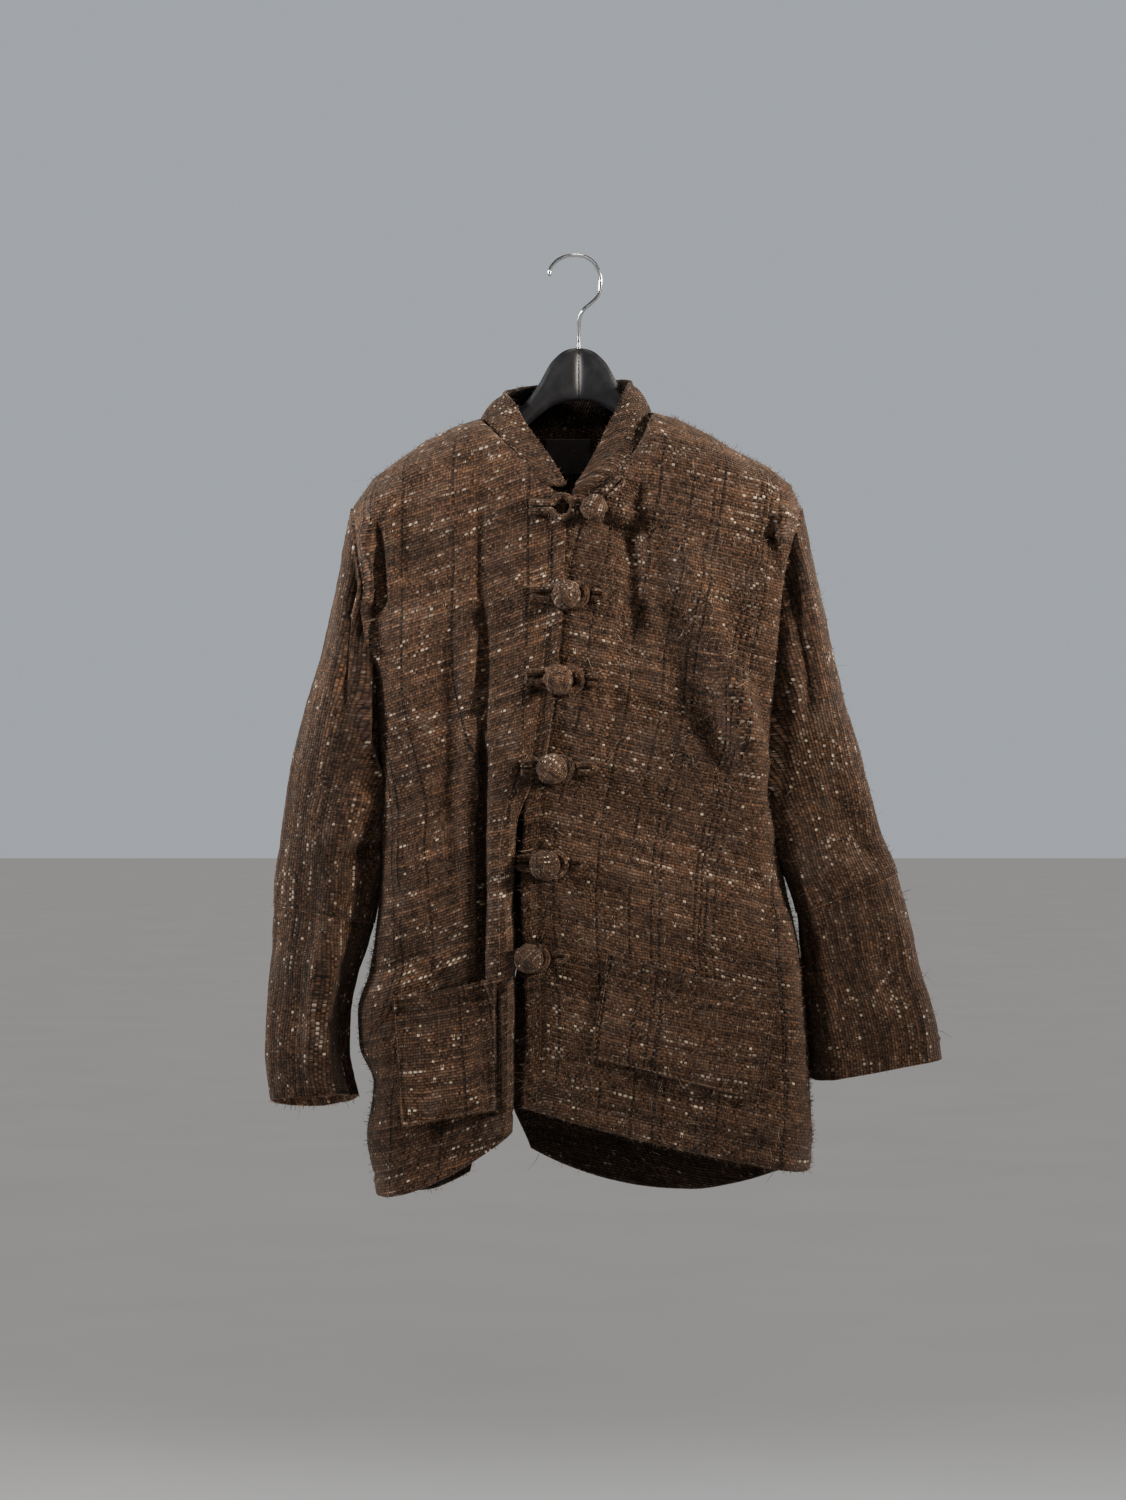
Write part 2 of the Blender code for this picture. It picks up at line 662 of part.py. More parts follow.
def collar(material):
    """The stand collar: a band between the neck seam and its top edge, a little rounded."""
    grid = [[] for _ in COLLAR_ACROSS]
    fixed = {}
    for k, (at, seam) in enumerate(neck_points()):
        top = Vector([read(COLLAR_ROWS, COLLAR_COLUMNS, name, at) * MM for name in COLLAR_COLUMNS[1:]])
        out = Vector((seam.x + 2 * MM, seam.y, 0)).normalized()
        fixed[(0, k)] = -out
        for row, share in zip(grid, COLLAR_ACROSS):
            row.append(seam.lerp(top, share) + out * COLLAR_BULGE * math.sin(math.pi * share))
    wall("collar", grid, COLLAR_WALL, material, turn=-1, fixed=fixed)


def surface_of(*items):
    """Finds the nearest outer surface of the given objects, seen from the front."""
    build = bmesh.new()
    for item in items:
        build.from_mesh(item.data)
    tree = BVHTree.FromBMesh(build)
    build.free()
    return tree


def front_y(tree, x, z):
    """The y of the first surface that a line from the front meets, or None."""
    hit = tree.ray_cast(Vector((x, -1.0, z)), Vector((0, 1, 0)))[0]
    return None if hit is None else hit.y


def pocket(name, tree, material):
    corners = [Vector((x * MM, 0, z * MM)) for x, z in POCKETS[name]]
    across, down = POCKET_CELLS
    grid = []
    for i in range(down + 1):
        row = []
        for j in range(across + 1):
            s, t = j / across, i / down
            top, low = corners[0].lerp(corners[1], s), corners[3].lerp(corners[2], s)
            point = top.lerp(low, t)
            point.z -= POCKET_DIP * math.sin(math.pi * s) * (1 - t)
            reach = (corners[1] - corners[0]).length / across / 2
            row.append(laid(tree, [(point.x, point.z)], reach, POCKET_GAP + POCKET_WALL)[0])
        grid.append(row)
    fixed = {(i, j): Vector((0, 1, 0)) for i in range(down + 1) for j in range(across + 1)}
    wall(name, grid, POCKET_WALL, material, fixed=fixed)


def tube(name, path, radius, material, sides=CORD_SIDES):
    """A round cord along a path."""
    count = len(path)
    points, faces = [], []
    for i, point in enumerate(path):
        after, before = path[min(i + 1, count - 1)], path[max(i - 1, 0)]
        way = (after - before).normalized()
        side = way.cross(Vector((0, 1, 0))).normalized()
        out = side.cross(way).normalized()
        for k in range(sides):
            angle = 2 * math.pi * k / sides
            points.append(point + (side * math.cos(angle) + out * math.sin(angle)) * radius)
    for i in range(count - 1):
        for k in range(sides):
            a, b = i * sides + k, i * sides + (k + 1) % sides
            faces.append((a, b, b + sides, a + sides))
    faces.append(tuple(range(sides)))
    faces.append(tuple((count - 1) * sides + k for k in range(sides)))
    return closed_mesh(name, points, faces, material)


def arc(centre_x, centre_z, radius, start, end, steps):
    """Points of an arc in the plane of the front, by their angles in degrees."""
    for k in range(steps + 1):
        angle = math.radians(mix(start, end, k / steps))
        yield centre_x + radius * math.cos(angle), centre_z + radius * math.sin(angle)


def smooth_path(points, step):
    """A smooth curve through points, read at even steps."""
    curve = []
    ends = [points[0] * 2 - points[1], *points, points[-1] * 2 - points[-2]]
    for i in range(1, len(ends) - 2):
        p0, p1, p2, p3 = ends[i - 1:i + 3]
        for k in range(CURVE_STEPS):
            t = k / CURVE_STEPS
            curve.append(
                0.5 * (2 * p1 + (p2 - p0) * t + (2 * p0 - 5 * p1 + 4 * p2 - p3) * t**2
                       + (3 * p1 - p0 - 3 * p2 + p3) * t**3)
            )
    curve.append(points[-1].copy())
    length = sum((b - a).length for a, b in zip(curve, curve[1:]))
    count = max(2, round(length / step))
    even, walked, target = [curve[0]], 0.0, length / count
    for a, b in zip(curve, curve[1:]):
        piece = (b - a).length
        while walked + piece >= target * len(even) and len(even) < count:
            even.append(a.lerp(b, (target * len(even) - walked) / piece))
        walked += piece
    even.append(curve[-1])
    return even


def laid(tree, flat, reach, out):
    """Flat x and z points laid on the cloth around them and moved out from it."""
    around = ((0, 0), (-reach, 0), (reach, 0), (0, -reach), (0, reach))
    depths = []
    for x, z in flat:
        near = [front_y(tree, x + dx, z + dz) for dx, dz in around]
        depths.append(min((y for y in near if y is not None), default=None))
    known = [i for i, y in enumerate(depths) if y is not None]
    path = []
    for i, (x, z) in enumerate(flat):
        before = max((k for k in known if k <= i), default=known[0])
        after = min((k for k in known if k >= i), default=known[-1])
        t = (i - before) / (after - before) if after > before else 0
        y = mix(depths[before], depths[after], t)
        path.append(Vector((x, y - out, z)))
    return path


def laid_cord(tree, flat, radius, step):
    """A cord's path over the cloth, its depth freed of steps without bringing it nearer."""
    even = smooth_path([Vector((x, 0, z)) for x, z in flat], step)
    out = CORD_GAP + radius * math.cos(math.pi / CORD_SIDES)
    path = laid(tree, [(p.x, p.z) for p in even], radius * 0.9, out)
    ys = [p.y for p in path]
    for i, point in enumerate(path):
        point.y = min(ys[max(0, i - 1):i + 2])
    return path


def ball(name, centre, foot, wide, material):
    """A ball button with its shank, turned about the line from its foot."""
    axis = (centre - foot).normalized()
    radius, depth = wide / 2, wide / 2 * BALL_DEPTH
    height = (centre - foot).length
    profile = [(SHANK * 1.1, 0.0)]
    neck = math.asin(min(0.95, SHANK / radius))
    steps = 7
    for k in range(steps):
        angle = mix(neck, math.pi, k / (steps - 1))
        profile.append((radius * math.sin(angle), height - depth * math.cos(angle)))
    side = axis.cross(Vector((0, 0, 1))).normalized()
    up = axis.cross(side).normalized()
    points, faces = [], []
    for r, h in profile[:-1]:
        across, down = (side, up) if h else (Vector((-1, 0, 0)), Vector((0, 0, -1)))
        for k in range(BALL_SIDES):
            angle = 2 * math.pi * k / BALL_SIDES
            spoke = across * math.cos(angle) + down * math.sin(angle)
            points.append(foot + axis * h + spoke * r)
    top = len(points)
    points.append(foot + axis * profile[-1][1])
    rings = len(profile) - 1
    for i in range(rings - 1):
        for k in range(BALL_SIDES):
            a, b = i * BALL_SIDES + k, i * BALL_SIDES + (k + 1) % BALL_SIDES
            faces.append((a, b, b + BALL_SIDES, a + BALL_SIDES))
    for k in range(BALL_SIDES):
        a, b = (rings - 1) * BALL_SIDES + k, (rings - 1) * BALL_SIDES + (k + 1) % BALL_SIDES
        faces.append((a, b, top))
    faces.append(tuple(range(BALL_SIDES)))
    return closed_mesh(name, points, faces, material)


def closing(number, row, tree, material):
    """One closing: the ball on its shank, the loop round it and the ball's sewn tail."""
    value = dict(zip(CLOSING_COLUMNS, row))
    x, z, wide = value["x"] * MM, value["z"] * MM, value["wide"] * MM
    loop_x, loop_z = value["loop_x"] * MM, value["loop_z"] * MM
    cord = CORD / 2
    half = cord + 0.4 * MM
    if value["reach"] is None:
        open_x, open_z, radius = (n * MM for n in OPEN_LOOP)
        spread = math.degrees(math.asin(half / radius))
        flat = [(loop_x, open_z + half + 1 * MM), (mix(loop_x, open_x - radius, 0.6), open_z + half)]
        flat += list(arc(open_x, open_z, radius, 180 - spread, spread - 180, 14))
        flat += [(mix(loop_x, open_x - radius, 0.6), open_z - half), (loop_x, open_z - half - 1 * MM)]
    else:
        reach = value["reach"] * MM
        turn = 11.0 * MM
        end = x + reach - turn
        flat = [(loop_x, loop_z + half), (mix(loop_x, end, 0.35), mix(loop_z, z, 0.3) + half + 1.5 * MM)]
        flat += [(mix(loop_x, end, 0.7), z + turn * 0.85)]
        flat += list(arc(end, z, turn, 75, -75, 8))
        flat += [(mix(loop_x, end, 0.7), z - turn * 0.85)]
        flat += [(mix(loop_x, end, 0.35), mix(loop_z, z, 0.3) - half - 1.5 * MM), (loop_x, loop_z - half)]
    path = laid_cord(tree, flat, cord, CORD_STEP)
    tube(f"loop_{number}", path, cord, material)

    foot_x, foot_z = value["foot_x"] * MM, value["foot_z"] * MM
    foot_y = laid(tree, [(foot_x, foot_z)], SHANK, POCKET_GAP)[0].y
    near = [p.y for p in path if math.hypot(p.x - x, p.z - z) < wide * BALL_COVERS]
    lowest = min(near, default=foot_y)
    centre_y = min(lowest - cord - SEAM_GAP, foot_y - cord) - wide * BALL_RISE
    ball(f"ball_{number}", Vector((x, centre_y, z)), Vector((foot_x, foot_y, foot_z)), wide, material)

    tail_x, tail_z = value["tail_x"] * MM, value["tail_z"] * MM
    thin = TAIL_CORD / 2
    gap = thin + 0.35 * MM
    if value["reach"] is None:
        start = Vector((foot_x + 7 * MM, 0, foot_z + 11 * MM))
    else:
        start = Vector((x + value["reach"] * MM + cord + thin * 0.4, 0, z))
    end = Vector((tail_x, 0, tail_z))
    way = (end - start).normalized()
    side = Vector((-way.z, 0, way.x))
    flat = [start + side * gap, end + side * gap - way * thin]
    flat += [end + way * thin * 0.4, end - side * gap - way * thin, start - side * gap]
    path = laid_cord(tree, [(p.x, p.z) for p in flat], thin, TAIL_STEP)
    tube(f"tail_{number}", path, thin, material)


def label(inner, material):
    """The bare label on the inside of the back, below the collar."""
    (x0, z0), (x1, z1) = LABEL
    across, down = 6, 3
    grid = []
    for i in range(down + 1):
        row = []
        for j in range(across + 1):
            x, z = mix(x0, x1, j / across) * MM, mix(z0, z1, i / down) * MM
            hit = inner.ray_cast(Vector((x, 0.0, z)), Vector((0, 1, 0)))[0]
            row.append(Vector((x, hit.y - LABEL_WALL - 0.5 * MM, z)))
        grid.append(row)
    fixed = {(i, j): Vector((0, 1, 0)) for i in range(down + 1) for j in range(across + 1)}
    wall("label", grid, LABEL_WALL, material, fixed=fixed)


def shoulder_z(x):
    """The height of the shoulders' outer crest at x."""
    side = "right" if x < 0 else "left"
    return along([p for p in FRONT_TOP[side] if p[1] > 4], x / MM)[1] * MM


def hanger(material):
    """A moulded shoulder hanger: rounded sections from tip to tip, creased at the middle."""
    rows = []
    for sign in (-1, 1):
        half = [(sign, *row) for row in HANGER_ROWS if sign > 0 or row[0] > 0]
        rows += half if sign > 0 else half[::-1]
    rings = []
    for sign, out, top, under, half, y in rows:
        x = HANGER_X + sign * out * MM
        top_z, under_z = top * MM, under * MM
        top_z -= sign * out * MM * HANGER_TILT
        under_z -= sign * out * MM * HANGER_TILT
        if not NECK_SPAN[0] <= x <= NECK_SPAN[1]:
            top_z = min(top_z, shoulder_z(x) - UNDER_CLOTH)
        middle = (top_z + under_z) / 2
        ring = []
        for k in range(HANGER_SIDES):
            angle = 2 * math.pi * (k + 0.5) / HANGER_SIDES
            c, s = math.cos(angle), math.sin(angle)
            across = c * half * MM
            high = math.copysign(abs(s) ** 0.8, s) * (top_z - under_z) / 2
            ring.append(Vector((x, y * MM + across, middle + high)))
        rings.append(ring)
    points = [p for ring in rings for p in ring]
    faces = []
    for i in range(len(rings) - 1):
        for k in range(HANGER_SIDES):
            a, b = i * HANGER_SIDES + k, i * HANGER_SIDES + (k + 1) % HANGER_SIDES
            faces.append((a, b, b + HANGER_SIDES, a + HANGER_SIDES))
    faces.append(tuple(range(HANGER_SIDES)))
    faces.append(tuple((len(rings) - 1) * HANGER_SIDES + k for k in range(HANGER_SIDES)))
    body = closed_mesh("hanger", points, faces, material, sharp=35)
    bore = bpy.data.meshes.new("hook_bore")
    build = bmesh.new()
    bmesh.ops.create_cone(
        build, cap_ends=True, segments=12, radius1=HOOK_BORE, radius2=HOOK_BORE,
        depth=2 * HOOK_SINK,
        matrix=Matrix.Translation((HANGER_X, HANGER_ROWS[0][4] * MM, HANGER_ROWS[0][1] * MM)),
    )
    build.to_mesh(bore)
    build.free()
    cutter = bpy.data.objects.new("hook_bore", bore)
    cutter.hide_render = True
    cutter.display_type = "WIRE"
    bpy.context.collection.objects.link(cutter)
    cut = body.modifiers.new("bore", "BOOLEAN")
    cut.object = cutter
    cut.operation = "DIFFERENCE"
    cut.solver = "EXACT"


def hook(material):
    """The wire hook, its shank sunk in the hanger's bore."""
    points = [Vector((x * MM, 0, z * MM)) for x, z in HOOK_ROWS]
    sink = HANGER_ROWS[0][1] * MM - HOOK_SINK + 1 * MM
    back = HANGER_ROWS[0][4] * MM
    points[-1].y = back
    points[-2].y = back * 0.8
    points[-3].y = back * 0.35
    points.append(Vector((HANGER_X, back, sink)))
    tube("hook", smooth_path(points, HOOK_STEP), HOOK_WIRE, material, sides=WIRE_SIDES)


def main():
    clear_scene()
    tweed = make_material("tweed")
    for panel in PANELS:
        panel_wall(panel, tweed)
    for side in SLEEVES:
        sleeve(side, tweed)
    collar(tweed)
    parts = bpy.data.objects
    fronts = surface_of(parts["front_right"], parts["front_left"], parts["collar"])
    for name in POCKETS:
        pocket(name, fronts, tweed)
    for number, row in enumerate(CLOSINGS, start=1):
        closing(number, row, fronts, tweed)
    label(surface_of(parts["back_right"], parts["back_left"]), make_material("label"))
    hanger(make_material("hanger"))
    hook(make_material("hook"))


main()
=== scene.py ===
"""Dresses a straight hand-woven wool jacket, hung on a coat hanger, in cloth, cord and hair.

Laid out as a Blender add-on: sizes and colours in property groups, one operator for each
piece or group of like pieces, and a panel in the 3D view's sidebar that lists them.

Metres, +Z up, +X to the right and +Y away from someone who faces the jacket's front. The
origin is the inside top of the hook. The tables hold millimetres from it. Left and right in
the names are the wearer's.
"""

import math

import bpy
import numpy as np
from bpy.props import FloatProperty, FloatVectorProperty, IntProperty, PointerProperty
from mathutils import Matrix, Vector, noise
from mathutils.bvhtree import BVHTree


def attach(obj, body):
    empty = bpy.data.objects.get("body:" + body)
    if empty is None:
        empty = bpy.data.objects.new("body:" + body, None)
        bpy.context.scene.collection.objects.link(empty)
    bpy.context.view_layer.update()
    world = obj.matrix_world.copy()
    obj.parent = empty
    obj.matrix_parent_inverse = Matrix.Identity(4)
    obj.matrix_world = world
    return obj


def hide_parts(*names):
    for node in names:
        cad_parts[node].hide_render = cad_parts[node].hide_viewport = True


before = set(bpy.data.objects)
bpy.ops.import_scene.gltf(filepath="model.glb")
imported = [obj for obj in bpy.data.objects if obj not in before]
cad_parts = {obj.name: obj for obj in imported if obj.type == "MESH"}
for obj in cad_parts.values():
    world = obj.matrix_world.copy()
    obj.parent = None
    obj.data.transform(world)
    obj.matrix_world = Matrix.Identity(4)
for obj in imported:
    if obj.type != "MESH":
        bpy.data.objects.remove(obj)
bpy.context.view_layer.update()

bl_info = {
    "name": "Hand-woven jacket",
    "version": (1, 0, 0),
    "blender": (4, 5, 0),
    "location": "3D View > Sidebar > Jacket",
    "description": "Builds the cloth, cords, hanger and stage of a hand-woven jacket",
    "category": "Object",
}

MM = 0.001
SEAM_LAP = 0.3 * MM  # how far sewn edges reach into each other
ON_CLOTH = 0.4 * MM  # room between a panel and what is sewn on it

SHOULDER_ROLL = 50 * MM  # how far down the cloth takes to turn from the crest to its face
SIDE_ROLL = 42 * MM
ROLL_POWER = 2.2
ARMHOLE_DEPTH = 44 * MM  # half the armhole's width, front to back
YOKE = 0.4  # the share of the armhole's height above the first full row
TUCK = 0.42  # how much flatter the armhole's front edge is where the cloth sinks in
TUCK_START = {"right": 0.3, "left": 0.1}
TUCK_SPREAD = 0.14  # over this share of the armhole's height it sinks to its full depth
NECK_X = -2 * MM  # the middle of the neck

ARMHOLE_ROWS = 56
SKIRT_ROWS = 92
COLUMN_STEP = 2.9 * MM
UPPER_COUNT = 96
LOWER_COUNT = 36
COLLAR_ROWS_ACROSS = 17

# Down the side seams: v is 0 at the shoulder end, 1 at the underarm and 2 at the hem.
SIDE_COLUMNS = ("v", "x", "z")
SIDE_ROWS = {
    "right": (
        (0.0, -226, -252), (0.4, -214, -351), (0.7, -203, -426), (1.0, -199, -500),
        (1.15, -199, -567), (1.33, -200, -648), (1.5, -210, -724), (1.58, -221, -760),
        (1.67, -218, -800), (1.75, -205, -836), (1.86, -211, -885), (2.0, -201, -947),
    ),
    "left": (
        (0.0, 226, -252), (0.4, 206, -351), (0.7, 202, -426), (1.0, 199, -500),
        (1.08, 195, -534), (1.2, 202, -585), (1.33, 212, -640), (1.5, 226, -711),
        (1.67, 232, -782), (1.83, 236, -853), (1.93, 238, -893), (2.0, 234, -922),
    ),
}

# The top of each half, from the shoulder's end over the neck point to the centre: x, y, z.
FRONT_TOP = {
    "right": (
        (-226, 6, -252), (-206, 6, -224), (-182, 6, -206), (-153, 6, -186), (-122, 6, -171),
        (-98, 5, -164), (-88, -20, -174), (-77, -34, -186), (-53, -43, -210),
        (-37, -46, -231), (-10, -49, -246),
    ),
    "left": (
        (226, 6, -252), (216, 6, -231), (193, 6, -212), (163, 6, -197), (132, 6, -178),
        (101, 6, -163), (76, 5, -157), (68, -22, -180), (58, -36, -199), (35, -44, -225),
        (20, -45, -237), (-4, -45, -242),
    ),
}
BACK_NECK = {
    "right": ((-98, 6, -164), (-82, 30, -165), (-45, 44, -168), (-2, 47, -169)),
    "left": ((76, 6, -157), (63, 28, -162), (35, 43, -167), (-2, 47, -169)),
}

# The lines that shape a panel: where its face lies, a sharp valley, a soft ridge and the
# centre edge. A depth goes into the garment; out is away from the wearer.
PANEL_COLUMNS = (
    "v", "face", "valley_x", "valley_depth", "ridge_x", "ridge_out",
    "edge_x", "edge_out", "edge_z", "sag",
)
PANELS = {
    "front_right": (
        (0.0, 46, -98, 0, -53, 0, -10, 0, -246, 0),
        (0.4, 46, -93, 0, -47, 2, -12, 49.6, -300, 0),
        (0.7, 52, -94, 3, -46, 6, -15, 55.6, -368, 0),
        (1.0, 57, -96, 12, -53, 11, -21, 60.6, -430, -3),
        (1.15, 61, -96, 22, -63, 14, -29, 65.6, -497, -5),
        (1.25, 63, -96, 26, -66, 15, -48, 69, -540, -6),
        (1.33, 65, -97, 28, -68, 16, -60, 67, -575, -7),
        (1.5, 69, -97, 28, -72, 16, -63, 62, -650, -8),
        (1.58, 71, -97, 24, -71, 16, -62, 63, -686, -8),
        (1.67, 73, -97, 5, -69, 16, -62, 65, -728, -9),
        (1.75, 76, -97, 0, -69, 15, -62, 67, -765, -10),
        (1.86, 79, -98, 0, -69, 14, -62, 70, -815, -11),
        (2.0, 82, -99, 0, -71, 12, -65, 74, -879, -12),
    ),
    "front_left": (
        (0.0, 45, 76, 0, 20, 0, -4, 0, -242, 0),
        (0.4, 45, 58, 6, 16, 0, -17, 44, -290, 0),
        (0.7, 52, 60, 5, 14, 0, -28, 50, -355, 0),
        (1.0, 57, 64, 2, 12, 0, -33, 55, -418, 0),
        (1.08, 59, 65, 0, 12, 0, -38, 57, -450, -1),
        (1.2, 62, 66, 0, 12, 1, -46, 60, -503, -2),
        (1.33, 65, 67, 0, 12, 1, -53, 62, -561, -3),
        (1.5, 69, 68, 0, 12, 1, -56, 66, -636, -4),
        (1.67, 73, 68, 0, 12, 1, -53, 70, -710, -5),
        (1.83, 77, 68, 0, 12, 2, -51, 74, -780, -5),
        (1.93, 79, 68, 0, 12, 2, -54, 76, -824, -5),
        (2.0, 81, 68, 0, 12, 2, -56, 78, -854, -5),
    ),
    "back_right": (
        (0.0, 38, -98, 0, -50, 0, -2, 0, -169, 0),
        (0.4, 40, -104, 2, -56, 2, -8, 42, -285, 0),
        (0.7, 48, -112, 5, -62, 4, -14, 50, -355, 0),
        (1.0, 54, -118, 8, -68, 6, -20, 56, -425, 0),
        (1.25, 62, -124, 10, -80, 8, -34, 64, -535, 0),
        (1.5, 69, -130, 11, -94, 9, -48, 71, -645, -2),
        (1.67, 74, -134, 11, -104, 9, -62, 76, -722, -4),
        (1.75, 76, -136, 10, -110, 8, -72, 78, -760, -6),
        (1.86, 79, -140, 9, -122, 7, -88, 80, -842, -9),
        (2.0, 81, -148, 8, -134, 6, -110, 82, -934, -12),
    ),
    "back_left": (
        (0.0, 38, 76, 0, 40, 0, -2, 0, -169, 0),
        (0.4, 40, 92, 2, 44, 2, -8, 42, -285, 0),
        (0.7, 48, 100, 5, 48, 4, -14, 50, -355, 0),
        (1.0, 54, 106, 8, 50, 6, -20, 56, -425, 0),
        (1.25, 62, 112, 10, 46, 9, -34, 64, -535, -2),
        (1.5, 70, 118, 12, 42, 11, -48, 71, -645, -6),
        (1.67, 75, 122, 12, 40, 12, -61, 76, -722, -10),
        (1.75, 77, 124, 12, 40, 12, -67, 78, -760, -14),
        (1.86, 80, 126, 10, 42, 10, -72, 80, -836, -24),
        (2.0, 82, 128, 8, 46, 8, -47, 82, -910, -36),
    ),
}
FRONT_VALLEY_WIDTH = 6 * MM
BACK_VALLEY_WIDTH = 16 * MM
VALLEY_WIDTH = {
    "front_right": FRONT_VALLEY_WIDTH, "front_left": 12 * MM,
    "back_right": BACK_VALLEY_WIDTH, "back_left": BACK_VALLEY_WIDTH,
}

# Drag lines across a panel: from one end to the other, how far they stand out, and their
# half width, as x0, z0, x1, z1, out, width. A minus sign is a trough.
FOLDS = {
    "front_right": (
        (-206, -300, -190, -420, -7, 9),
        (-190, -290, -176, -470, 5, 12),
        (-160, -430, -150, -700, 4, 18),
        (-205, -720, -150, -705, -6, 14),
        (-208, -830, -150, -800, -5, 14),
    ),
    "front_left": (
        (192, -275, 200, -330, -8, 9),
        (28, -275, 60, -290, -6, 12),
        (150, -420, 185, -540, 8, 18),
        (176, -420, 192, -500, -6, 12),
        (120, -500, 196, -620, 5, 20),
        (60, -835, 190, -860, -5, 16),
    ),
    "back_right": (
        (-196, -320, -176, -470, -7, 12),
        (-150, -300, -60, -250, 4, 16),
        (-190, -620, -150, -900, 7, 18),
    ),
    "back_left": (
        (196, -320, 174, -480, -7, 12),
        (150, -300, 50, -250, 4, 16),
        (190, -600, 200, -880, 7, 20),
        (76, -480, 90, -900, 6, 20),
    ),
}

# A sleeve's rings: the outer and inner points, how far along from outer to inner the front
# ridge stands, its front and back and how square it is.
SLEEVE_COLUMNS = (
    "t", "outer_x", "outer_z", "inner_x", "inner_z", "ridge", "front_y", "back_y", "square",
)
SLEEVES = {
    "right": (
        (0.0, -226, -252, -200, -500, 0.5, -44, 44, 1.0),
        (0.08, -234, -300, -202, -512, 0.5, -46, 44, 0.95),
        (0.18, -244, -352, -201, -528, 0.52, -46, 44, 0.92),
        (0.32, -264, -430, -199, -556, 0.54, -46, 44, 1.0),
        (0.48, -286, -512, -198.5, -592, 0.56, -46, 42, 1.2),
        (0.64, -298, -590, -199.5, -632, 0.57, -48, 40, 1.32),
        (0.75, -304, -652, -207, -672, 0.58, -50, 38, 1.38),
        (0.86, -307, -730, -228, -745, 0.58, -52, 38, 1.38),
        (0.94, -311, -800, -233, -802, 0.57, -54, 40, 1.34),
        (1.0, -307, -853, -222, -848, 0.55, -52, 44, 1.25),
    ),
    "left": (
        (0.0, 226, -252, 200, -500, 0.5, -44, 44, 1.0),
        (0.08, 234, -298, 202, -512, 0.55, -46, 42, 0.9),
        (0.18, 246, -350, 202, -526, 0.62, -46, 38, 0.85),
        (0.32, 266, -440, 198.5, -552, 0.7, -44, 32, 0.8),
        (0.48, 290, -525, 202.5, -588, 0.76, -42, 26, 0.76),
        (0.64, 308, -592, 214, -628, 0.8, -41, 22, 0.74),
        (0.72, 320, -616, 222.5, -656, 0.82, -41, 20, 0.74),
        (0.84, 344, -715, 233, -738, 0.84, -42, 18, 0.74),
        (0.94, 362, -778, 238.5, -800, 0.84, -43, 20, 0.76),
        (1.0, 366, -812, 242, -832, 0.8, -43, 24, 0.8),
    ),
}
SLEEVE_SEAM = {"right": 0.755, "left": 0.735}
ARMHOLE_BLEND = 0.3
CROTCH_GAP = 2.0 * MM
SEAM_RIDGE = 1.6 * MM  # the lower sleeve's top stands out a little at its seam

# The collar's top edge, by how far round the neck it is: 0 at the right front's edge, 2 at
# the right neck point, 4 at the centre back, 6 at the left neck point, 8 at the left edge.
COLLAR_COLUMNS = ("round", "top_x", "top_y", "top_z")
COLLAR_ROWS = (
    (0.4, -9, -45, -233),
    (0.75, -22, -36, -211),
    (1.0, -31, -29, -197),
    (1.5, -51, -17, -168),
    (1.75, -61, -10, -149),
    (2.0, -72, 6, -136),
    (2.5, -62, 25, -130),
    (3.0, -42, 36, -126),
    (4.0, -4, 41, -124),
    (5.0, 28, 37, -122),
    (5.5, 43, 25, -121),
    (6.0, 54, 2, -125),
    (6.12, 50, -9, -131),
    (6.3, 42, -19, -148),
    (6.52, 31, -24, -170),
    (6.75, 21, -31, -192),
    (7.0, 11, -37, -211),
    (7.5, 3, -42, -225),
    (8.0, -2, -44, -232),
)
COLLAR_START = 0.4
COLLAR_BULGE = 3.5 * MM
COLLAR_HEM = 6.5 * MM

# Patch pockets by their corners' x and z on the front: top outer, top inner, bottom inner,
# bottom outer. The top edge dips between them.
POCKETS = {
    "pocket_left": ((201, -738), (30, -701), (13, -804), (183, -848)),
    "pocket_right": ((-184, -743), (-80, -724), (-80, -856), (-174, -874)),
}
POCKET_DIP = 3 * MM
POCKET_ACROSS, POCKET_DOWN = 64, 42
# What lifts a pocket off the front: how far out, and how far it reaches, in millimetres.
POCKET_FULL = (5.0, 26)
POCKET_BAG = (2.8, 14)
POCKET_RIM = (1.9, 2.6)
POCKET_MOUTH = (3.2, 8)
POCKET_GROOVE = (1.8, 1.8)
POCKET_SEWN = 5.0 * MM  # from a pocket's edge to its stitches
POCKET_HEM = 17 * MM

# The closings, from the neck down: the ball's centre and width, where its shank stands, the
# loop's sewn end and its reach past the ball, and the tail's end.
CLOSING_COLUMNS = (
    "x", "z", "wide", "foot_x", "foot_z", "loop_x", "loop_z", "reach", "tail_x", "tail_z",
)
CLOSINGS = (
    (17, -257, 28, 22, -255, -48, -250, None, 44, -229),
    (-11, -344, 31, -2, -344, -47, -343, 20, 26, -345),
    (-19, -429, 31, -9, -429, -53, -426, 23, 22, -430),
    (-25, -518, 32, -16, -518, -56, -517, 19, 16, -517),
    (-32, -613, 32, -22, -613, -60, -611, 20, 4, -612),
    (-48, -706, 30, -38, -706, -62, -704, 18, -12, -704),
)
OPEN_LOOP = (-15, -256, 11)  # the unfastened loop's middle and radius
BALL_RISE = 0.31  # how far its middle stands before the loop, as a share of its width
BALL_COVERS = 0.7  # it clears its loop this far from its middle, as a share of its width
SHANK = 4.5 * MM
KNOT_FINENESS = 1.35  # the knots' cloth is drawn tight
BALL_RINGS, BALL_SIDES = 44, 64
BALL_FLATNESS = 0.92  # a ball's depth as a share of its width
STEM_SIDES = 10
STEM = 6.0 * MM  # half the width of the stem between a ball and the cloth
BAND = 0.62  # half the width of a ball's band, as a share of the cord
BAND_GROOVE = 1.9 * MM  # between the bands of a ball's knot
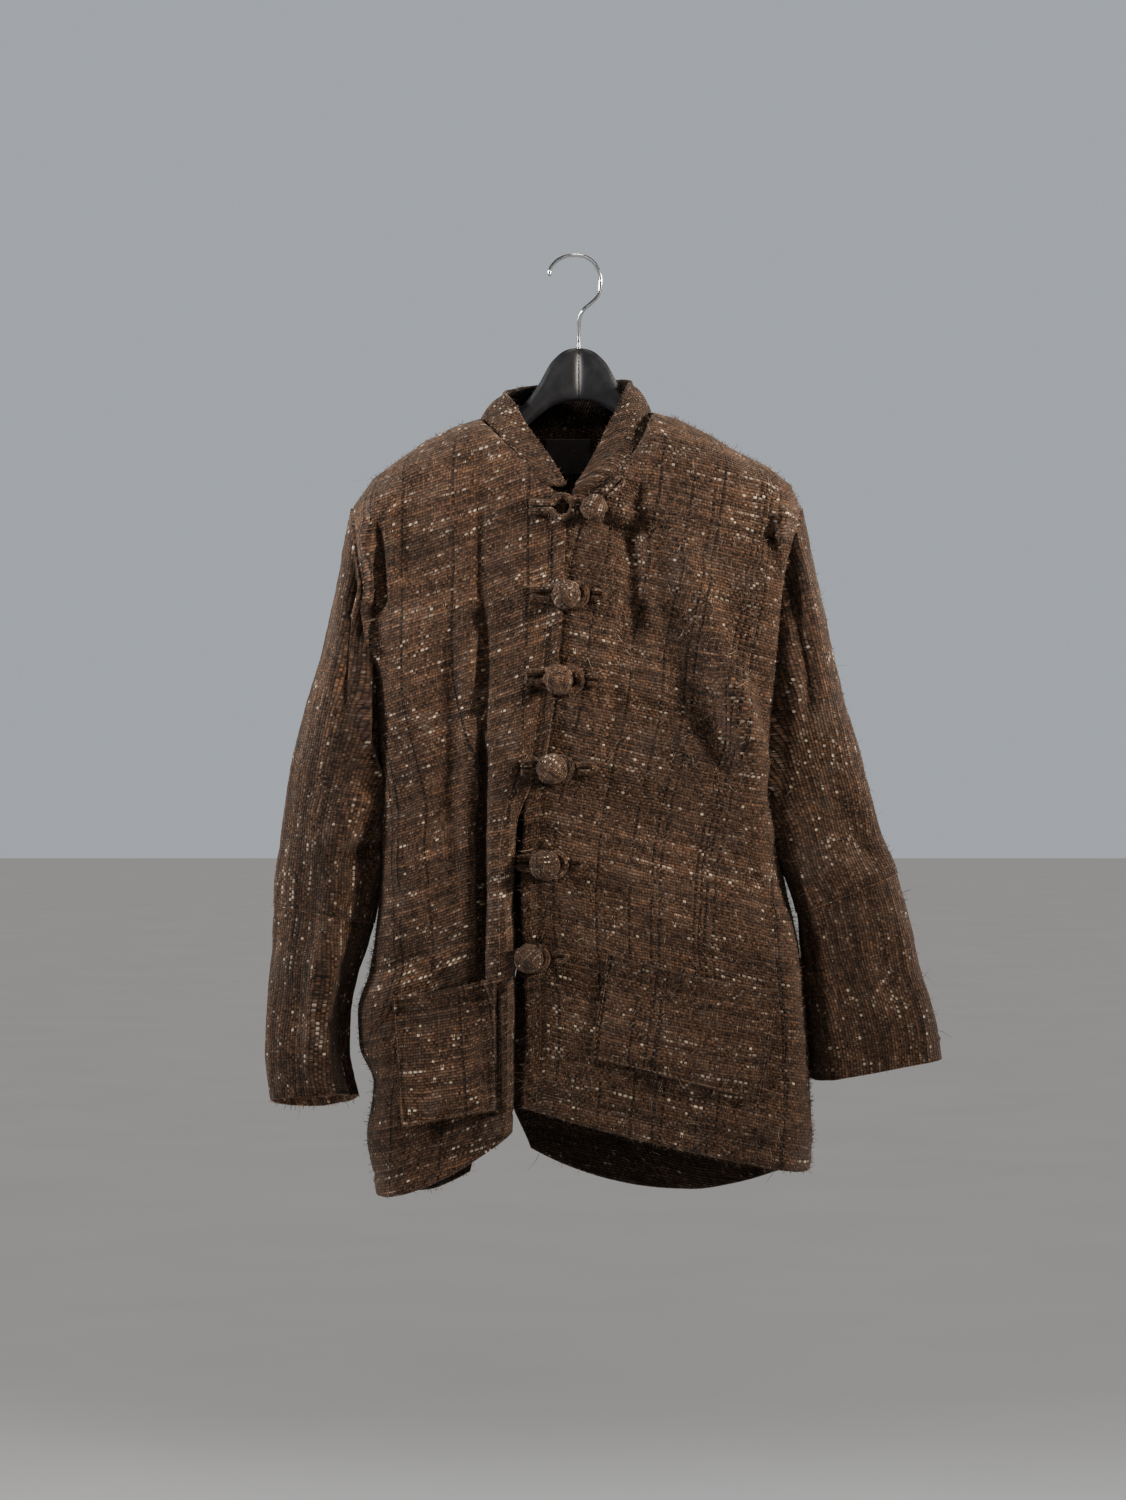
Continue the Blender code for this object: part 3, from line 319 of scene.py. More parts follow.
# A ball's bands: the axis that each goes round, and how far it is off the middle, in radians.
BANDS = (
    ((0.35, 0.9, 0.2), -0.62), ((0.35, 0.9, 0.2), 0.1), ((0.95, -0.25, 0.1), -0.3),
    ((0.95, -0.25, 0.1), 0.45), ((-0.2, 0.35, 0.9), 0.0), ((0.55, 0.55, -0.6), 0.72),
)
CORD_SEAM = 0.16  # the depth of a cord's rolled edge, as a share of its radius
CORD_TWIST = 190  # radians that the edge turns in a metre
LUMPS, LUMP_SPACING = 0.06, 4 * MM
LOOP_TURN = 11 * MM  # the radius of a loop's end
LOOP_STEP = 2.2 * MM
OPEN_STEPS, TURN_STEPS = 14, 8

LABEL = ((-32, -181), (14, -218))
LABEL_ACROSS, LABEL_DOWN = 40, 30
LABEL_WALL = 0.9 * MM
RIBBON_RIB, RIBBON_THREAD = 0.6 * MM, 0.4 * MM

# The hanger by its distance from the middle: its top before it meets the shoulders' inside,
# its underside, half its thickness and how far back its middle lies, in that order.
HANGER_X = 2 * MM
HANGER_ROWS = (
    (0, -91, -144, 6.5, 9.0),
    (6, -91.6, -144.5, 7.2, 8.6),
    (14, -94, -146, 8, 8.4),
    (27, -105, -151, 8.8, 8.2),
    (41, -129, -161, 9.5, 8.0),
    (52, -145, -171, 10, 8.0),
    (64, -156, -181, 10.5, 7.8),
    (72, -163, -186, 11, 7.5),
    (84, -168, -193, 12, 6.0),
    (110, -172, -205, 14.5, 4.0),
    (140, -182, -221, 17, 2.0),
    (170, -196, -238, 18.5, 0.5),
    (188, -207, -250, 18, -0.5),
    (198, -217, -255, 14, -1.0),
    (203, -228, -250, 7, -1.0),
)
HANGER_TILT = 0.018  # its left arm hangs lower, by this much for each unit out
HANGER_CREASE = 1.6 * MM
UNDER_CLOTH = 5.0 * MM  # from the shoulders' outer crest down to the hanger
NECK_SPAN = (-94 * MM, 71 * MM)  # the hanger is open to the air between these
HOOK_WIRE = 1.9 * MM
HOOK_SINK = 18 * MM
# The hook's wire from its tip down to the hanger: x, z.
HOOK_ROWS = (
    (-27.5, -19), (-27, -12), (-20, -3.5), (-11, 0.8), (-1, 1.9), (9, 0.2), (18, -6.5),
    (23, -17), (24, -28), (21.5, -39), (14, -47), (7, -53), (3, -61), (2, -71), (2, -90),
)


# The small drag lines, dents and soft ridges that the solids leave out, in the same terms:
# x0, z0, x1, z1, out, width.
CREASES = {
    "front_right": (
        (-211, -276, -205, -350, 7, 6),
        (-214, -340, -204, -412, 7, 7),
        (-199, -268, -195, -362, -5, 5),
        (-173, -222, -172, -330, -3, 9),
        (-98, -225, -97, -470, -4, 9),
        (-111, -340, -108, -560, 4, 10),
        (-97, -480, -97, -728, -2, 4),
        (-81, -520, -82, -735, 4, 6),
        (-150, -560, -140, -700, -3, 12),
        (-176, -215, -100, -235, 2.5, 10),
        (-150, -260, -120, -420, 3, 16),
        (-128, -330, -118, -640, -3.5, 12),
        (-172, -480, -168, -680, -3, 12),
        (-112, -520, -108, -720, 3.5, 9),
        (-140, -700, -104, -735, 3, 10),
        (-196, -770, -120, -748, -3, 9),
        (-190, -860, -110, -835, 3, 12),
        (-86, -730, -78, -860, -3, 10),
        (-90, -480, -60, -520, 2.5, 10),
        (-62, -300, -48, -400, 2, 9),
        (-160, -905, -130, -860, -3, 10),
    ),
    "front_left": (
        (99, -265, 186, -540, 8.5, 15),
        (120, -420, 205, -700, -4.5, 18),
        (70, -330, 150, -560, -3, 17),
        (208, -256, 203, -288, 5, 6),
        (194, -262, 196, -300, -3, 5),
        (23, -272, 62, -279, -5, 6),
        (30, -262, 62, -266, 3.5, 6),
        (70, -215, 70, -400, 2, 9),
        (59, -225, 58, -400, -2.2, 8),
        (50, -330, 30, -510, -3, 8),
        (96, -470, 206, -590, 3, 14),
        (60, -560, 215, -660, -2.5, 16),
        (40, -640, 130, -690, 2.5, 12),
        (205, -640, 222, -850, 3.5, 11),
        (150, -860, 226, -800, -3.5, 10),
        (40, -880, 120, -858, 3, 12),
        (110, -210, 150, -300, 2.5, 16),
    ),
    "back_right": (
        (-206, -330, -190, -470, 6, 9),
        (-90, -215, -110, -420, 3, 18),
        (-40, -200, -62, -330, -3, 14),
        (-60, -420, -76, -760, 4, 14),
        (-100, -480, -120, -820, -4, 14),
        (-176, -500, -168, -760, 4, 14),
        (-150, -860, -190, -780, -4, 12),
        (-30, -520, -46, -660, -2.5, 10),
        (-150, -240, -172, -480, 5, 14),
        (-120, -640, -60, -700, -4, 14),
    ),
    "back_left": (
        (206, -330, 188, -480, 6, 9),
        (80, -215, 100, -430, 3, 18),
        (30, -200, 34, -340, -3, 14),
        (20, -420, 6, -700, 4, 14),
        (66, -520, 60, -830, -4, 13),
        (110, -470, 128, -800, 5, 15),
        (160, -520, 170, -860, -5, 14),
        (196, -620, 214, -800, 4, 11),
        (50, -860, 110, -820, -4, 12),
        (150, -240, 164, -480, 5, 14),
        (70, -640, 150, -700, -4, 14),
    ),
}

# Creases of a sleeve in its rings' terms: t and degrees round at each end (0 is the outer
# edge, 90 the front, 180 the inside and 270 the back), how far out, and half width in mm.
SLEEVE_CREASES = {
    "right": (
        (0.02, 60, 0.26, 75, 6, 9),
        (0.02, 90, 0.22, 110, -6, 9),
        (0.02, 124, 0.14, 132, 4, 9),
        (0.2, 140, 0.62, 146, -5, 13),
        (0.1, 230, 0.4, 250, 5, 12),
        (0.06, 290, 0.34, 280, -5, 12),
        (0.38, 120, 0.6, 85, -4, 12),
        (0.5, 150, 0.66, 95, 4, 12),
        (0.58, 210, 0.7, 270, -4, 12),
        (0.62, 230, 0.86, 285, 5, 14),
        (0.66, 60, 0.98, 66, 3, 12),
        (0.78, 110, 1.02, 118, -4, 10),
        (0.8, 150, 1.02, 160, 5, 12),
        (0.84, 20, 1.02, 30, -3, 12),
        (0.86, 250, 1.02, 240, -4, 12),
    ),
    "left": (
        (0.02, 60, 0.26, 70, 6, 9),
        (0.02, 126, 0.3, 138, -6, 13),
        (0.12, 136, 0.56, 142, -5, 13),
        (0.08, 230, 0.36, 250, 5, 12),
        (0.08, 290, 0.36, 280, -5, 12),
        (0.4, 110, 0.7, 70, -3, 14),
        (0.5, 60, 0.72, 40, 3, 12),
        (0.6, 130, 0.9, 118, 4, 14),
        (0.56, 220, 0.72, 270, -4, 12),
        (0.62, 230, 0.88, 285, 5, 14),
        (0.8, 60, 1.02, 52, 3, 14),
        (0.82, 95, 1.02, 100, -4, 12),
        (0.84, 200, 1.02, 210, -4, 12),
        (0.86, 270, 1.02, 262, 4, 12),
    ),
}

# The cut of each sewn piece: width, length and area, in metres.
CUTS = {
    "front_right": (0.302, 0.779, 0.1686),
    "front_left": (0.357, 0.766, 0.2074),
    "back_right": (0.271, 0.808, 0.1587),
    "back_left": (0.380, 0.815, 0.2232),
    "sleeve_right_upper": (0.566, 0.412, 0.0810),
    "sleeve_right_lower": (0.285, 0.198, 0.0501),
    "sleeve_left_upper": (0.567, 0.386, 0.0759),
    "sleeve_left_lower": (0.327, 0.193, 0.0549),
    "collar": (0.472, 0.055, 0.0169),
    "pocket_left": (0.177, 0.112, 0.0186),
    "pocket_right": (0.141, 0.136, 0.0138),
}

RELIEF = 1.55  # how strongly the creases are drawn
FOLD_FADE = 0.3  # a fold dies away over this share of its length at each end
FOLD_END = 0.35  # how much of that fade is still to come at a drag line's own end
CREASE_END = 0.5  # the same for a sleeve's crease
CREASE_PAST = 0.2  # a sleeve's crease keeps its slant this far past its ends
SLEEVE_ROUND = 290  # millimetres round a sleeve
SLEEVE_TIP = 0.88  # where the right sleeve's end begins to turn up in front and down behind
RIPPLES = ((60 * MM, 1.0), (24 * MM, 0.45), (9.5 * MM, 0.28))  # each one's spacing and share
SIDE_CALM, TOP_CALM, CENTRE_CALM = 14 * MM, 16 * MM, 12 * MM  # creases start this far in
SLEEVE_CALM = 22 * MM
HEM_RISE, HEM_TURN = 1.3 * MM, 4 * MM  # a hem stands out, and turns to its edge within this
HEM_GROOVE, GROOVE_WIDTH = 1.6 * MM, 1.8 * MM  # the line of stitches above a hem
HEM_THICK = 0.8  # the share of a hem's rise that makes the wall thicker
FACING = 0.75  # a front edge's turning, as a share of the hem's depth
STITCH, STITCH_STEP, STITCH_HALF = 3.0 * MM, 5.6 * MM, 0.42 * MM  # length, pitch, half width
INSIDE = 20.0  # added to the map's first coordinate on a cloth's inner side, where the material paints shade
GRAIN_LEAN = 0.6  # how far the warp follows a front's slanting edge
WEFT_SLOPE = {"front_right": 0.34, "front_left": 0.24, "back_right": 0.22, "back_left": 0.22}


def length_property(name, description, value):
    return FloatProperty(name=name, description=description, default=value, unit="LENGTH")


def colour_property(name, description, value):
    return FloatVectorProperty(
        name=name, description=description, subtype="COLOR", size=3, min=0, max=1, default=value,
    )


class JacketCloth(bpy.types.PropertyGroup):
    """The cloth's and the cords' sizes"""

    wall: length_property("Cloth", "Thickness of the woven cloth", 3.0 * MM)
    collar_wall: length_property("Collar", "Thickness of the collar's two layers", 5.0 * MM)
    cord: length_property("Loop cord", "Diameter of the rolled cord of a loop", 8.0 * MM)
    tail_cord: length_property("Tail cord", "Diameter of the cord behind a ball", 7.0 * MM)
    hem: length_property("Hem", "Depth of the turned-up hems", 20 * MM)
    ripple: length_property("Unevenness", "How far the cloth strays from its folds", 1.9 * MM)
    weft: length_property("Weft pitch", "From one weft yarn to the next", 3.0 * MM)
    warp: length_property("Warp pitch", "From one warp yarn to the next", 2.7 * MM)
    hair: length_property("Hair length", "Length of the usual stray hairs", 6 * MM)
    hairs: IntProperty(
        name="Hairs", description="Stray hairs on a square metre of cloth", default=105000,
    )


class JacketColours(bpy.types.PropertyGroup):
    """The yarns' and the fittings' colours"""

    shade: colour_property("Darkest yarn", "Almost black brown", (0.010, 0.0056, 0.0038))
    brown: colour_property("Brown yarn", "Most of the cloth", (0.058, 0.031, 0.019))
    tan: colour_property("Tan yarn", "Lighter brown in the weft", (0.172, 0.104, 0.066))
    rust: colour_property("Rust yarn", "Orange slubs", (0.150, 0.072, 0.036))
    grey: colour_property("Grey yarn", "Greyish wool in patches", (0.200, 0.152, 0.122))
    cream: colour_property("Cream yarn", "The pale slubs", (0.56, 0.45, 0.33))
    label: colour_property("Label", "Dark woven ribbon", (0.012, 0.0072, 0.006))
    hanger: colour_property("Hanger", "Satin black moulding", (0.010, 0.010, 0.012))
    hook: colour_property("Hook", "Bright plated wire", (0.78, 0.78, 0.80))
    floor: colour_property("Floor", "The stage's floor", (0.80, 0.82, 0.85))


def mix(a, b, t):
    return a + (b - a) * t


def ease(t):
    t = np.clip(t, 0.0, 1.0)
    return t * t * (3 - 2 * t)


def roll(t):
    """From 0 to 1 along a quarter of a rounded box."""
    t = np.clip(t, 0.0, 1.0)
    return (1 - (1 - t) ** ROLL_POWER) ** (1 / ROLL_POWER)


def unit(vectors):
    length = np.linalg.norm(vectors, axis=-1, keepdims=True)
    return vectors / np.maximum(length, 1e-12)


def read(rows, columns, name, at):
    """A smooth value of the named column, where the first column of the table is at."""
    keys = [row[0] for row in rows]
    values = [row[columns.index(name)] for row in rows]
    last = len(keys) - 1
    at = min(max(at, keys[0]), keys[last])
    i = max(k for k in range(last) if keys[k] <= at or k == 0)

    def slope(k):
        if k in (0, last):
            j = min(k, last - 1)
            return (values[j + 1] - values[j]) / (keys[j + 1] - keys[j])
        before = (values[k] - values[k - 1]) / (keys[k] - keys[k - 1])
        after = (values[k + 1] - values[k]) / (keys[k + 1] - keys[k])
        return 0.0 if before * after <= 0 else 2 * before * after / (before + after)

    span = keys[i + 1] - keys[i]
    t = (at - keys[i]) / span
    a, b = values[i], values[i + 1]
    bend = t * t * (3 - 2 * t)
    rise = t * (1 - t) ** 2 * slope(i) * span
    fall = t * t * (1 - t) * slope(i + 1) * span
    return a + (b - a) * bend + rise - fall


def top_line(panel):
    """The top of a panel, from the shoulder's end to the centre, in rising x."""
    side = panel.split("_")[1]
    if panel.startswith("front"):
        line = FRONT_TOP[side]
    else:
        shoulder = [(x, y + 0.5, z) for x, y, z in FRONT_TOP[side] if y > 5.5]
        line = (*shoulder, *BACK_NECK[side])
    return np.array(sorted(line), dtype=float)


def fold_height(folds, x, z):
    """How far a table of drag lines lifts the cloth, in millimetres."""
    height = np.zeros_like(x, dtype=float)
    for x0, z0, x1, z1, out, width in folds:
        dx, dz = x1 - x0, z1 - z0
        length = math.hypot(dx, dz)
        t = ((x - x0) * dx + (z - z0) * dz) / length**2
        off = np.abs((x - x0) * dz - (z - z0) * dx) / length
        fade = ease(np.minimum(t, 1 - t) / FOLD_FADE + FOLD_END)
        height += out * fade * np.exp(-((off / width) ** 2))
    return height


def armhole_y(v, front, side):
    """The armhole's edge, a rounded slot from the shoulder's end to the underarm."""
    if v >= 1:
        return 0.0
    middle = 1 - abs(2 * v - 1) ** ROLL_POWER
    depth = ARMHOLE_DEPTH * middle ** (1 / ROLL_POWER)
    if front:
        depth *= 1 - TUCK * float(ease((v - TUCK_START[side]) / TUCK_SPREAD))
    return mix(6 * MM, 0.0, v) + (-depth if front else depth)


def panel_row(panel, stations, v):
    """A row of points of a panel's outer face. A station is 0 at the side, 1 at the valley,
    2 at the ridge and 3 at the centre edge. v is 0 at the top, 1 at the underarm, 2 at the
    hem."""
    front = panel.startswith("front")
    side = panel.split("_")[1]
    rows, facing = PANELS[panel], -1 if front else 1
    u = np.asarray(stations, dtype=float)
    i = np.minimum(u.astype(int), 2)

    def line(name, at):
        return read(rows, PANEL_COLUMNS, name, at)

    def level_x(at):
        stops = np.array((
            read(SIDE_ROWS[side], SIDE_COLUMNS, "x", at),
            line("valley_x", at), line("ridge_x", at), line("edge_x", at),
        ))
        return mix(stops[i], stops[i + 1], u - i), stops

    def level_z(at):
        x, stops = level_x(at)
        w = (x - stops[0]) / (stops[3] - stops[0])
        side_z = read(SIDE_ROWS[side], SIDE_COLUMNS, "z", at)
        return mix(side_z, line("edge_z", at), w) + line("sag", at) * 4 * w * (1 - w)

    x, stops = level_x(v)
    shape_v = max(v, YOKE)
    if v < YOKE:
        top = top_line(panel)
        top_x = level_x(0)[0]
        top_y = np.interp(top_x, top[:, 0], top[:, 1])
        top_z = np.interp(top_x, top[:, 0], top[:, 2])
        z = mix(top_z, level_z(YOKE), v / YOKE)
        below = (top_z - z) * MM
    else:
        z = level_z(v)
        top_y, below = 0.0, np.full_like(z, SHOULDER_ROLL)
    face = facing * line("face", shape_v)
    dx = np.abs(x - stops[1]) * MM
    depth = line("valley_depth", v) * np.exp(-((dx / VALLEY_WIDTH[panel]) ** 2))
    lift = line("ridge_out", v) * ease(u - 1) * np.where(u <= 2, 1, 1 - ease(u - 2))
    y = face + facing * (lift - depth + fold_height(FOLDS[panel], x, z))
    y = np.where(u > 2, mix(y, facing * line("edge_out", shape_v), ease(u - 2)), y)
    y = mix(top_y, y, roll(below / SHOULDER_ROLL)) * MM
    y = mix(armhole_y(v, front, side), y, roll(np.abs(x - stops[0]) * MM / SIDE_ROLL))
    return np.stack((x * MM, y, z * MM), axis=-1)


def armhole_levels():
    return [(1 - math.cos(math.pi * k / ARMHOLE_ROWS)) / 2 for k in range(ARMHOLE_ROWS + 1)]


def panel_levels():
    return armhole_levels() + [1 + (k + 1) / SKIRT_ROWS for k in range(SKIRT_ROWS)]


def panel_stations(panel):
    """Columns at even steps of cloth, with one on each line of the panel."""
    stations = [0.0]
    for start in range(3):
        dense = np.linspace(start, start + 1, 201)
        walked = 0
        for v in (0.7, 1.3, 1.6):
            row = panel_row(panel, np.minimum(dense, 2.9999), v)
            steps = np.linalg.norm(np.diff(row, axis=0), axis=1)
            walked = walked + np.concatenate(([0], np.cumsum(steps))) / 3
        count = max(6, round(walked[-1] / COLUMN_STEP))
        wanted = np.linspace(0, walked[-1], count + 1)[1:]
        stations += list(np.interp(wanted, walked, dense))
    return [round(u, 9) for u in stations]


def seam_way(panel, u, v, point):
    """Which way the wall goes in at a panel's edges, shared with the piece beside it."""
    front, right = panel.startswith("front"), panel.endswith("right")
    into = 1 if front else -1
    across = 1 if right else -1
    if v == 0:
        if u <= 1:
            return (0.15 * across, 0, -1)
        return (NECK_X - point[0], -point[1], -12 * MM)
    if u == 3 and not front:
        return (0, -1, 0)
    if u == 0 and v >= 1:
        return (across, 0, 0)
    if u == 0:
        turned = math.sin(math.pi * v)
        return (0.8 * (1 - turned) * across, into * turned, -0.5 * (1 - v) * (1 - turned))
    return None


def inward(grid, around=False):
    """Unit normals of a grid of points, by its neighbours."""
    down = np.gradient(grid, axis=0)
    if around:
        across = np.roll(grid, -1, axis=1) - np.roll(grid, 1, axis=1)
    else:
        across = np.gradient(grid, axis=1)
    return unit(np.cross(down, across))


def walk(grid, axis):
    """How far each point of a grid is along its row or column, in metres of cloth."""
    steps = np.linalg.norm(np.diff(grid, axis=axis), axis=2)
    start = np.zeros_like(np.take(steps, [0], axis=axis))
    return np.concatenate((start, np.cumsum(steps, axis=axis)), axis=axis)


def ripple(points, size, seed):
    """The uneven lie of hand-woven cloth, in metres, at each of the points."""
    offset = Vector((seed * 3.7, seed * 1.9, seed * 5.3))
    flat = points.reshape(-1, 3)
    out = np.empty(len(flat))
    for k, p in enumerate(flat):
        v = Vector(p)
        out[k] = sum(share * noise.noise(v / spacing + offset) for spacing, share in RIPPLES)
    return (out * size).reshape(points.shape[:-1])


def hem_profile(distance, depth):
    """A turned hem stands out a little above its edge, with a groove at the stitches."""
    raised = HEM_RISE * ease((depth - distance) / HEM_TURN)
    groove = HEM_GROOVE * np.exp(-(((distance - depth) / GROOVE_WIDTH) ** 2))
    return raised - groove


def piece_mesh(name, points, faces, uvs, material, smooth=True):
    mesh = bpy.data.meshes.new(name)
    mesh.from_pydata([tuple(p) for p in points], [], faces)
    layer = mesh.uv_layers.new(name="Cloth")
    uvs = np.asarray(uvs, dtype=np.float32)
    if len(uvs) == len(points):
        corners = np.empty(len(mesh.loops), dtype=np.int32)
        mesh.loops.foreach_get("vertex_index", corners)
        uvs = uvs[corners]
    layer.data.foreach_set("uv", uvs.ravel())
    if smooth:
        mesh.shade_smooth()
    mesh.materials.append(material)
    piece = bpy.data.objects.new(name, mesh)
    bpy.context.collection.objects.link(piece)
    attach(piece, "root")
    return piece


def shell(name, grid, way, thickness, uv, material, around=False, soft=1.1 * MM):
    """A closed piece of cloth behind a grid of outer points, its edges rounded."""
    rows, columns = grid.shape[:2]
    outer = grid.copy()
    inner = grid + way * np.broadcast_to(np.asarray(thickness), grid.shape[:2])[..., None]
    middle = (outer + inner) / 2

    def drawn_in(edge, beside):
        gap = beside - edge
        length = np.linalg.norm(gap, axis=-1, keepdims=True)
        return edge + gap / np.maximum(length, 1e-12) * np.minimum(soft, 0.45 * length)

    edges = [(np.s_[0, :], np.s_[1, :]), (np.s_[-1, :], np.s_[-2, :])]
    if not around:
        edges += [(np.s_[:, 0], np.s_[:, 1]), (np.s_[:, -1], np.s_[:, -2])]
    for edge, beside in edges:
        for sheet in (outer, inner):
            sheet[edge] = drawn_in(sheet[edge], sheet[beside])
    count = rows * columns
    points = [outer.reshape(-1, 3), inner.reshape(-1, 3)]
    index = np.arange(count).reshape(rows, columns)
    wide = columns if around else columns - 1
    ahead = np.roll(index, -1, axis=1)
    a, b = index[:-1, :wide].ravel(), ahead[:-1, :wide].ravel()
    c, d = ahead[1:, :wide].ravel(), index[1:, :wide].ravel()
    ua, ub = uv[:-1, :wide].reshape(-1, 2), uv[:-1, 1:wide + 1].reshape(-1, 2)
    uc, ud = uv[1:, 1:wide + 1].reshape(-1, 2), uv[1:, :wide].reshape(-1, 2)
    faces = [np.stack((a, b, c, d), axis=1), np.stack((a, d, c, b), axis=1) + count]
    within = np.stack((ua, ud, uc, ub), axis=1) + (INSIDE, 0.0)
    corners = [np.stack((ua, ub, uc, ud), axis=1), within]
    base = 2 * count
    if around:
        loops = [index[0], index[-1]]
    else:
        loops = [np.concatenate((index[0], index[1:, -1], index[-1, -2::-1], index[-2:0:-1, 0]))]
    flat_uv = uv[:, :columns].reshape(-1, 2)
    for number, loop in enumerate(loops):
        points.append(middle.reshape(-1, 3)[loop])
        rim = base + np.arange(len(loop))
        base += len(loop)
        after, rim_after = np.roll(loop, -1), np.roll(rim, -1)
        here, there = flat_uv[loop], flat_uv[after]
        there = np.where(np.abs(there - here) > 0.05, here, there)
        for strip in (
            np.stack((loop, rim, rim_after, after), axis=1),
            np.stack((rim, loop + count, after + count, rim_after), axis=1),
        ):
            first, second = (there, here) if number else (here, there)
            faces.append(strip[:, ::-1] if number else strip)
            corners.append(np.stack((first, first, second, second), axis=1))
    faces = np.concatenate(faces).tolist()
    uvs = np.concatenate(corners).reshape(-1, 2)
    return piece_mesh(name, np.concatenate(points), faces, uvs, material)


def stands_for(node):
    """Hides the solid that a piece takes the place of."""
    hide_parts(node)


def cloth_piece(node):
    """Hides the solid that a cloth piece stands for, and looks up the size it was cut to."""
    stands_for(node)
    width, length, area = CUTS[node]


def panel_grain(panel, grid):
    """A panel's cloth coordinates: along the weft from the centre, and down the warp."""
    front, right = panel.startswith("front"), panel.endswith("right")
    step = np.linalg.norm(np.diff(grid[..., :2], axis=1), axis=2)
    zero = np.zeros((len(grid), 1))
    walked = np.concatenate((zero, np.cumsum(step, axis=1)), axis=1)
    from_edge = walked[:, -1:] - walked
    centre = GRAIN_LEAN * grid[:, -1:, 0]
    weft = from_edge + np.abs(grid[:, -1:, 0] - centre)
    slope = WEFT_SLOPE[panel]
    warp = -grid[..., 2] - slope * np.abs(grid[..., 0] - centre)
    down = walk(grid, 0)
    yoke = next(k for k, v in enumerate(armhole_levels()) if v >= YOKE)
    warp[:yoke] = warp[yoke] - down[yoke] + down[:yoke]
    return np.stack((weft + (0.0 if right else 0.9), warp + (0.0 if front else 1.3)), axis=-1)


def panel_piece(panel, cloth, material):
    front, right = panel.startswith("front"), panel.endswith("right")
    across = 1 if right else -1
    stations, levels = panel_stations(panel), panel_levels()
    grid = np.stack([panel_row(panel, np.array(stations), v) for v in levels])
    turn = -1.0 if front == right else 1.0
    way = inward(grid) * turn

    to_side, to_top = walk(grid, 1), walk(grid, 0)
    to_edge, to_hem = to_side[:, -1:] - to_side, to_top[-1:] - to_top
    x, z = grid[..., 0] / MM, grid[..., 2] / MM
    lift = fold_height(CREASES[panel], x, z) * RELIEF * MM
    lift += ripple(grid, cloth.ripple, 1 + list(PANELS).index(panel))
    lift *= ease(to_side / SIDE_CALM) * ease(to_top / TOP_CALM)
    if not front:
        lift *= ease(to_edge / CENTRE_CALM)
    edge = hem_profile(to_hem, cloth.hem)
    if front:
        facing = hem_profile(to_edge, cloth.hem * FACING) * ease((to_top - 10 * MM) / (20 * MM))
        raised, level = np.maximum(edge, facing), np.minimum(edge + facing, facing)
        edge = np.where(edge > 0, raised, level)
    lift += edge * ease(to_side / (6 * MM))
    thick = cloth.wall + np.maximum(edge, 0) * HEM_THICK
    moved = grid - way * lift[..., None]

    for i, v in enumerate(levels):
        for j, u in ((0, 0), (len(stations) - 1, 3)):
            direction = seam_way(panel, u, v, grid[i, j])
            if direction is not None:
                way[i, j] = unit(np.array(direction, dtype=float))
    for j, u in enumerate(stations):
        way[0, j] = unit(np.array(seam_way(panel, u, 0.0, grid[0, j]), dtype=float))
    lap = SEAM_LAP if front else -SEAM_LAP
    shoulder = np.array(stations) <= 1
    moved[0, shoulder, 1] += 1.6 * lap
    moved[1:, 0, 1] += lap
    if not front:
        moved[:, -1, 0] += SEAM_LAP * across
    uv = panel_grain(panel, grid)
    piece = shell(f"cloth_{panel}", moved, way, thick, uv, material)
    cloth_piece(panel)


def ring_points(side, t, angles):
    """Points of a sleeve's ring: 0 is the outer edge and a quarter round is the front."""
    rows = SLEEVES[side]
    value = {name: read(rows, SLEEVE_COLUMNS, name, t) for name in SLEEVE_COLUMNS[1:]}
    outer = np.array((value["outer_x"], 0, value["outer_z"]))
    inner = np.array((value["inner_x"], 0, value["inner_z"]))
    centre = mix(outer, inner, value["ridge"])
    c, s = np.cos(angles)[:, None], np.sin(angles)[:, None]
    reach = np.where(c >= 0, outer - centre, inner - centre)
    depth = np.where(s >= 0, value["front_y"], value["back_y"])
    points = centre + reach * np.abs(c) ** value["square"]
    return (points + depth * np.abs(s) ** value["square"] * np.array((0, 1, 0))) * MM


def armhole_loop(side):
    """The panels' edge at the armhole, round from the shoulder: angles, levels, points."""
    levels = armhole_levels()
    rows = [(math.acos(1 - 2 * v), v, "front") for v in levels]
    rows += [(2 * math.pi - math.acos(1 - 2 * v), v, "back") for v in levels[-2:0:-1]]
    points = np.array([panel_row(f"{face}_{side}", [0.0], v)[0] for _, v, face in rows])
    return np.array([row[0] for row in rows]), np.array([row[1] for row in rows]), points


def sleeve_crease(side, t, angles):
    """How far a sleeve's creases lift its cloth, in metres."""
    lift = np.zeros_like(angles)
    around = np.degrees(angles)
    for t0, a0, t1, a1, out, width in SLEEVE_CREASES[side]:
        share = (t - t0) / (t1 - t0)
        if -FOLD_FADE < share < 1 + FOLD_FADE:
            slid = min(max(share, -CREASE_PAST), 1 + CREASE_PAST)
            apart = np.abs((around - mix(a0, a1, slid) + 180) % 360 - 180)
            off = apart / 360 * SLEEVE_ROUND
            fade = ease(min(share, 1 - share) / FOLD_FADE + CREASE_END)
            lift += out * RELIEF * MM * fade * np.exp(-((off / width) ** 2))
    return lift


def sleeve_grid(side, ts, loop):
    angles, levels, edge = loop
    across = -1 if side == "right" else 1
    start = edge + np.outer(CROTCH_GAP * levels**3 - SEAM_LAP, (across, 0, 0))
    first = ring_points(side, 0, angles)
    grid = []
    for t in ts:
        left = max(0.0, 1 - t / ARMHOLE_BLEND) ** 2
        grid.append(ring_points(side, t, angles) + (start - first) * left)
    return np.stack(grid)


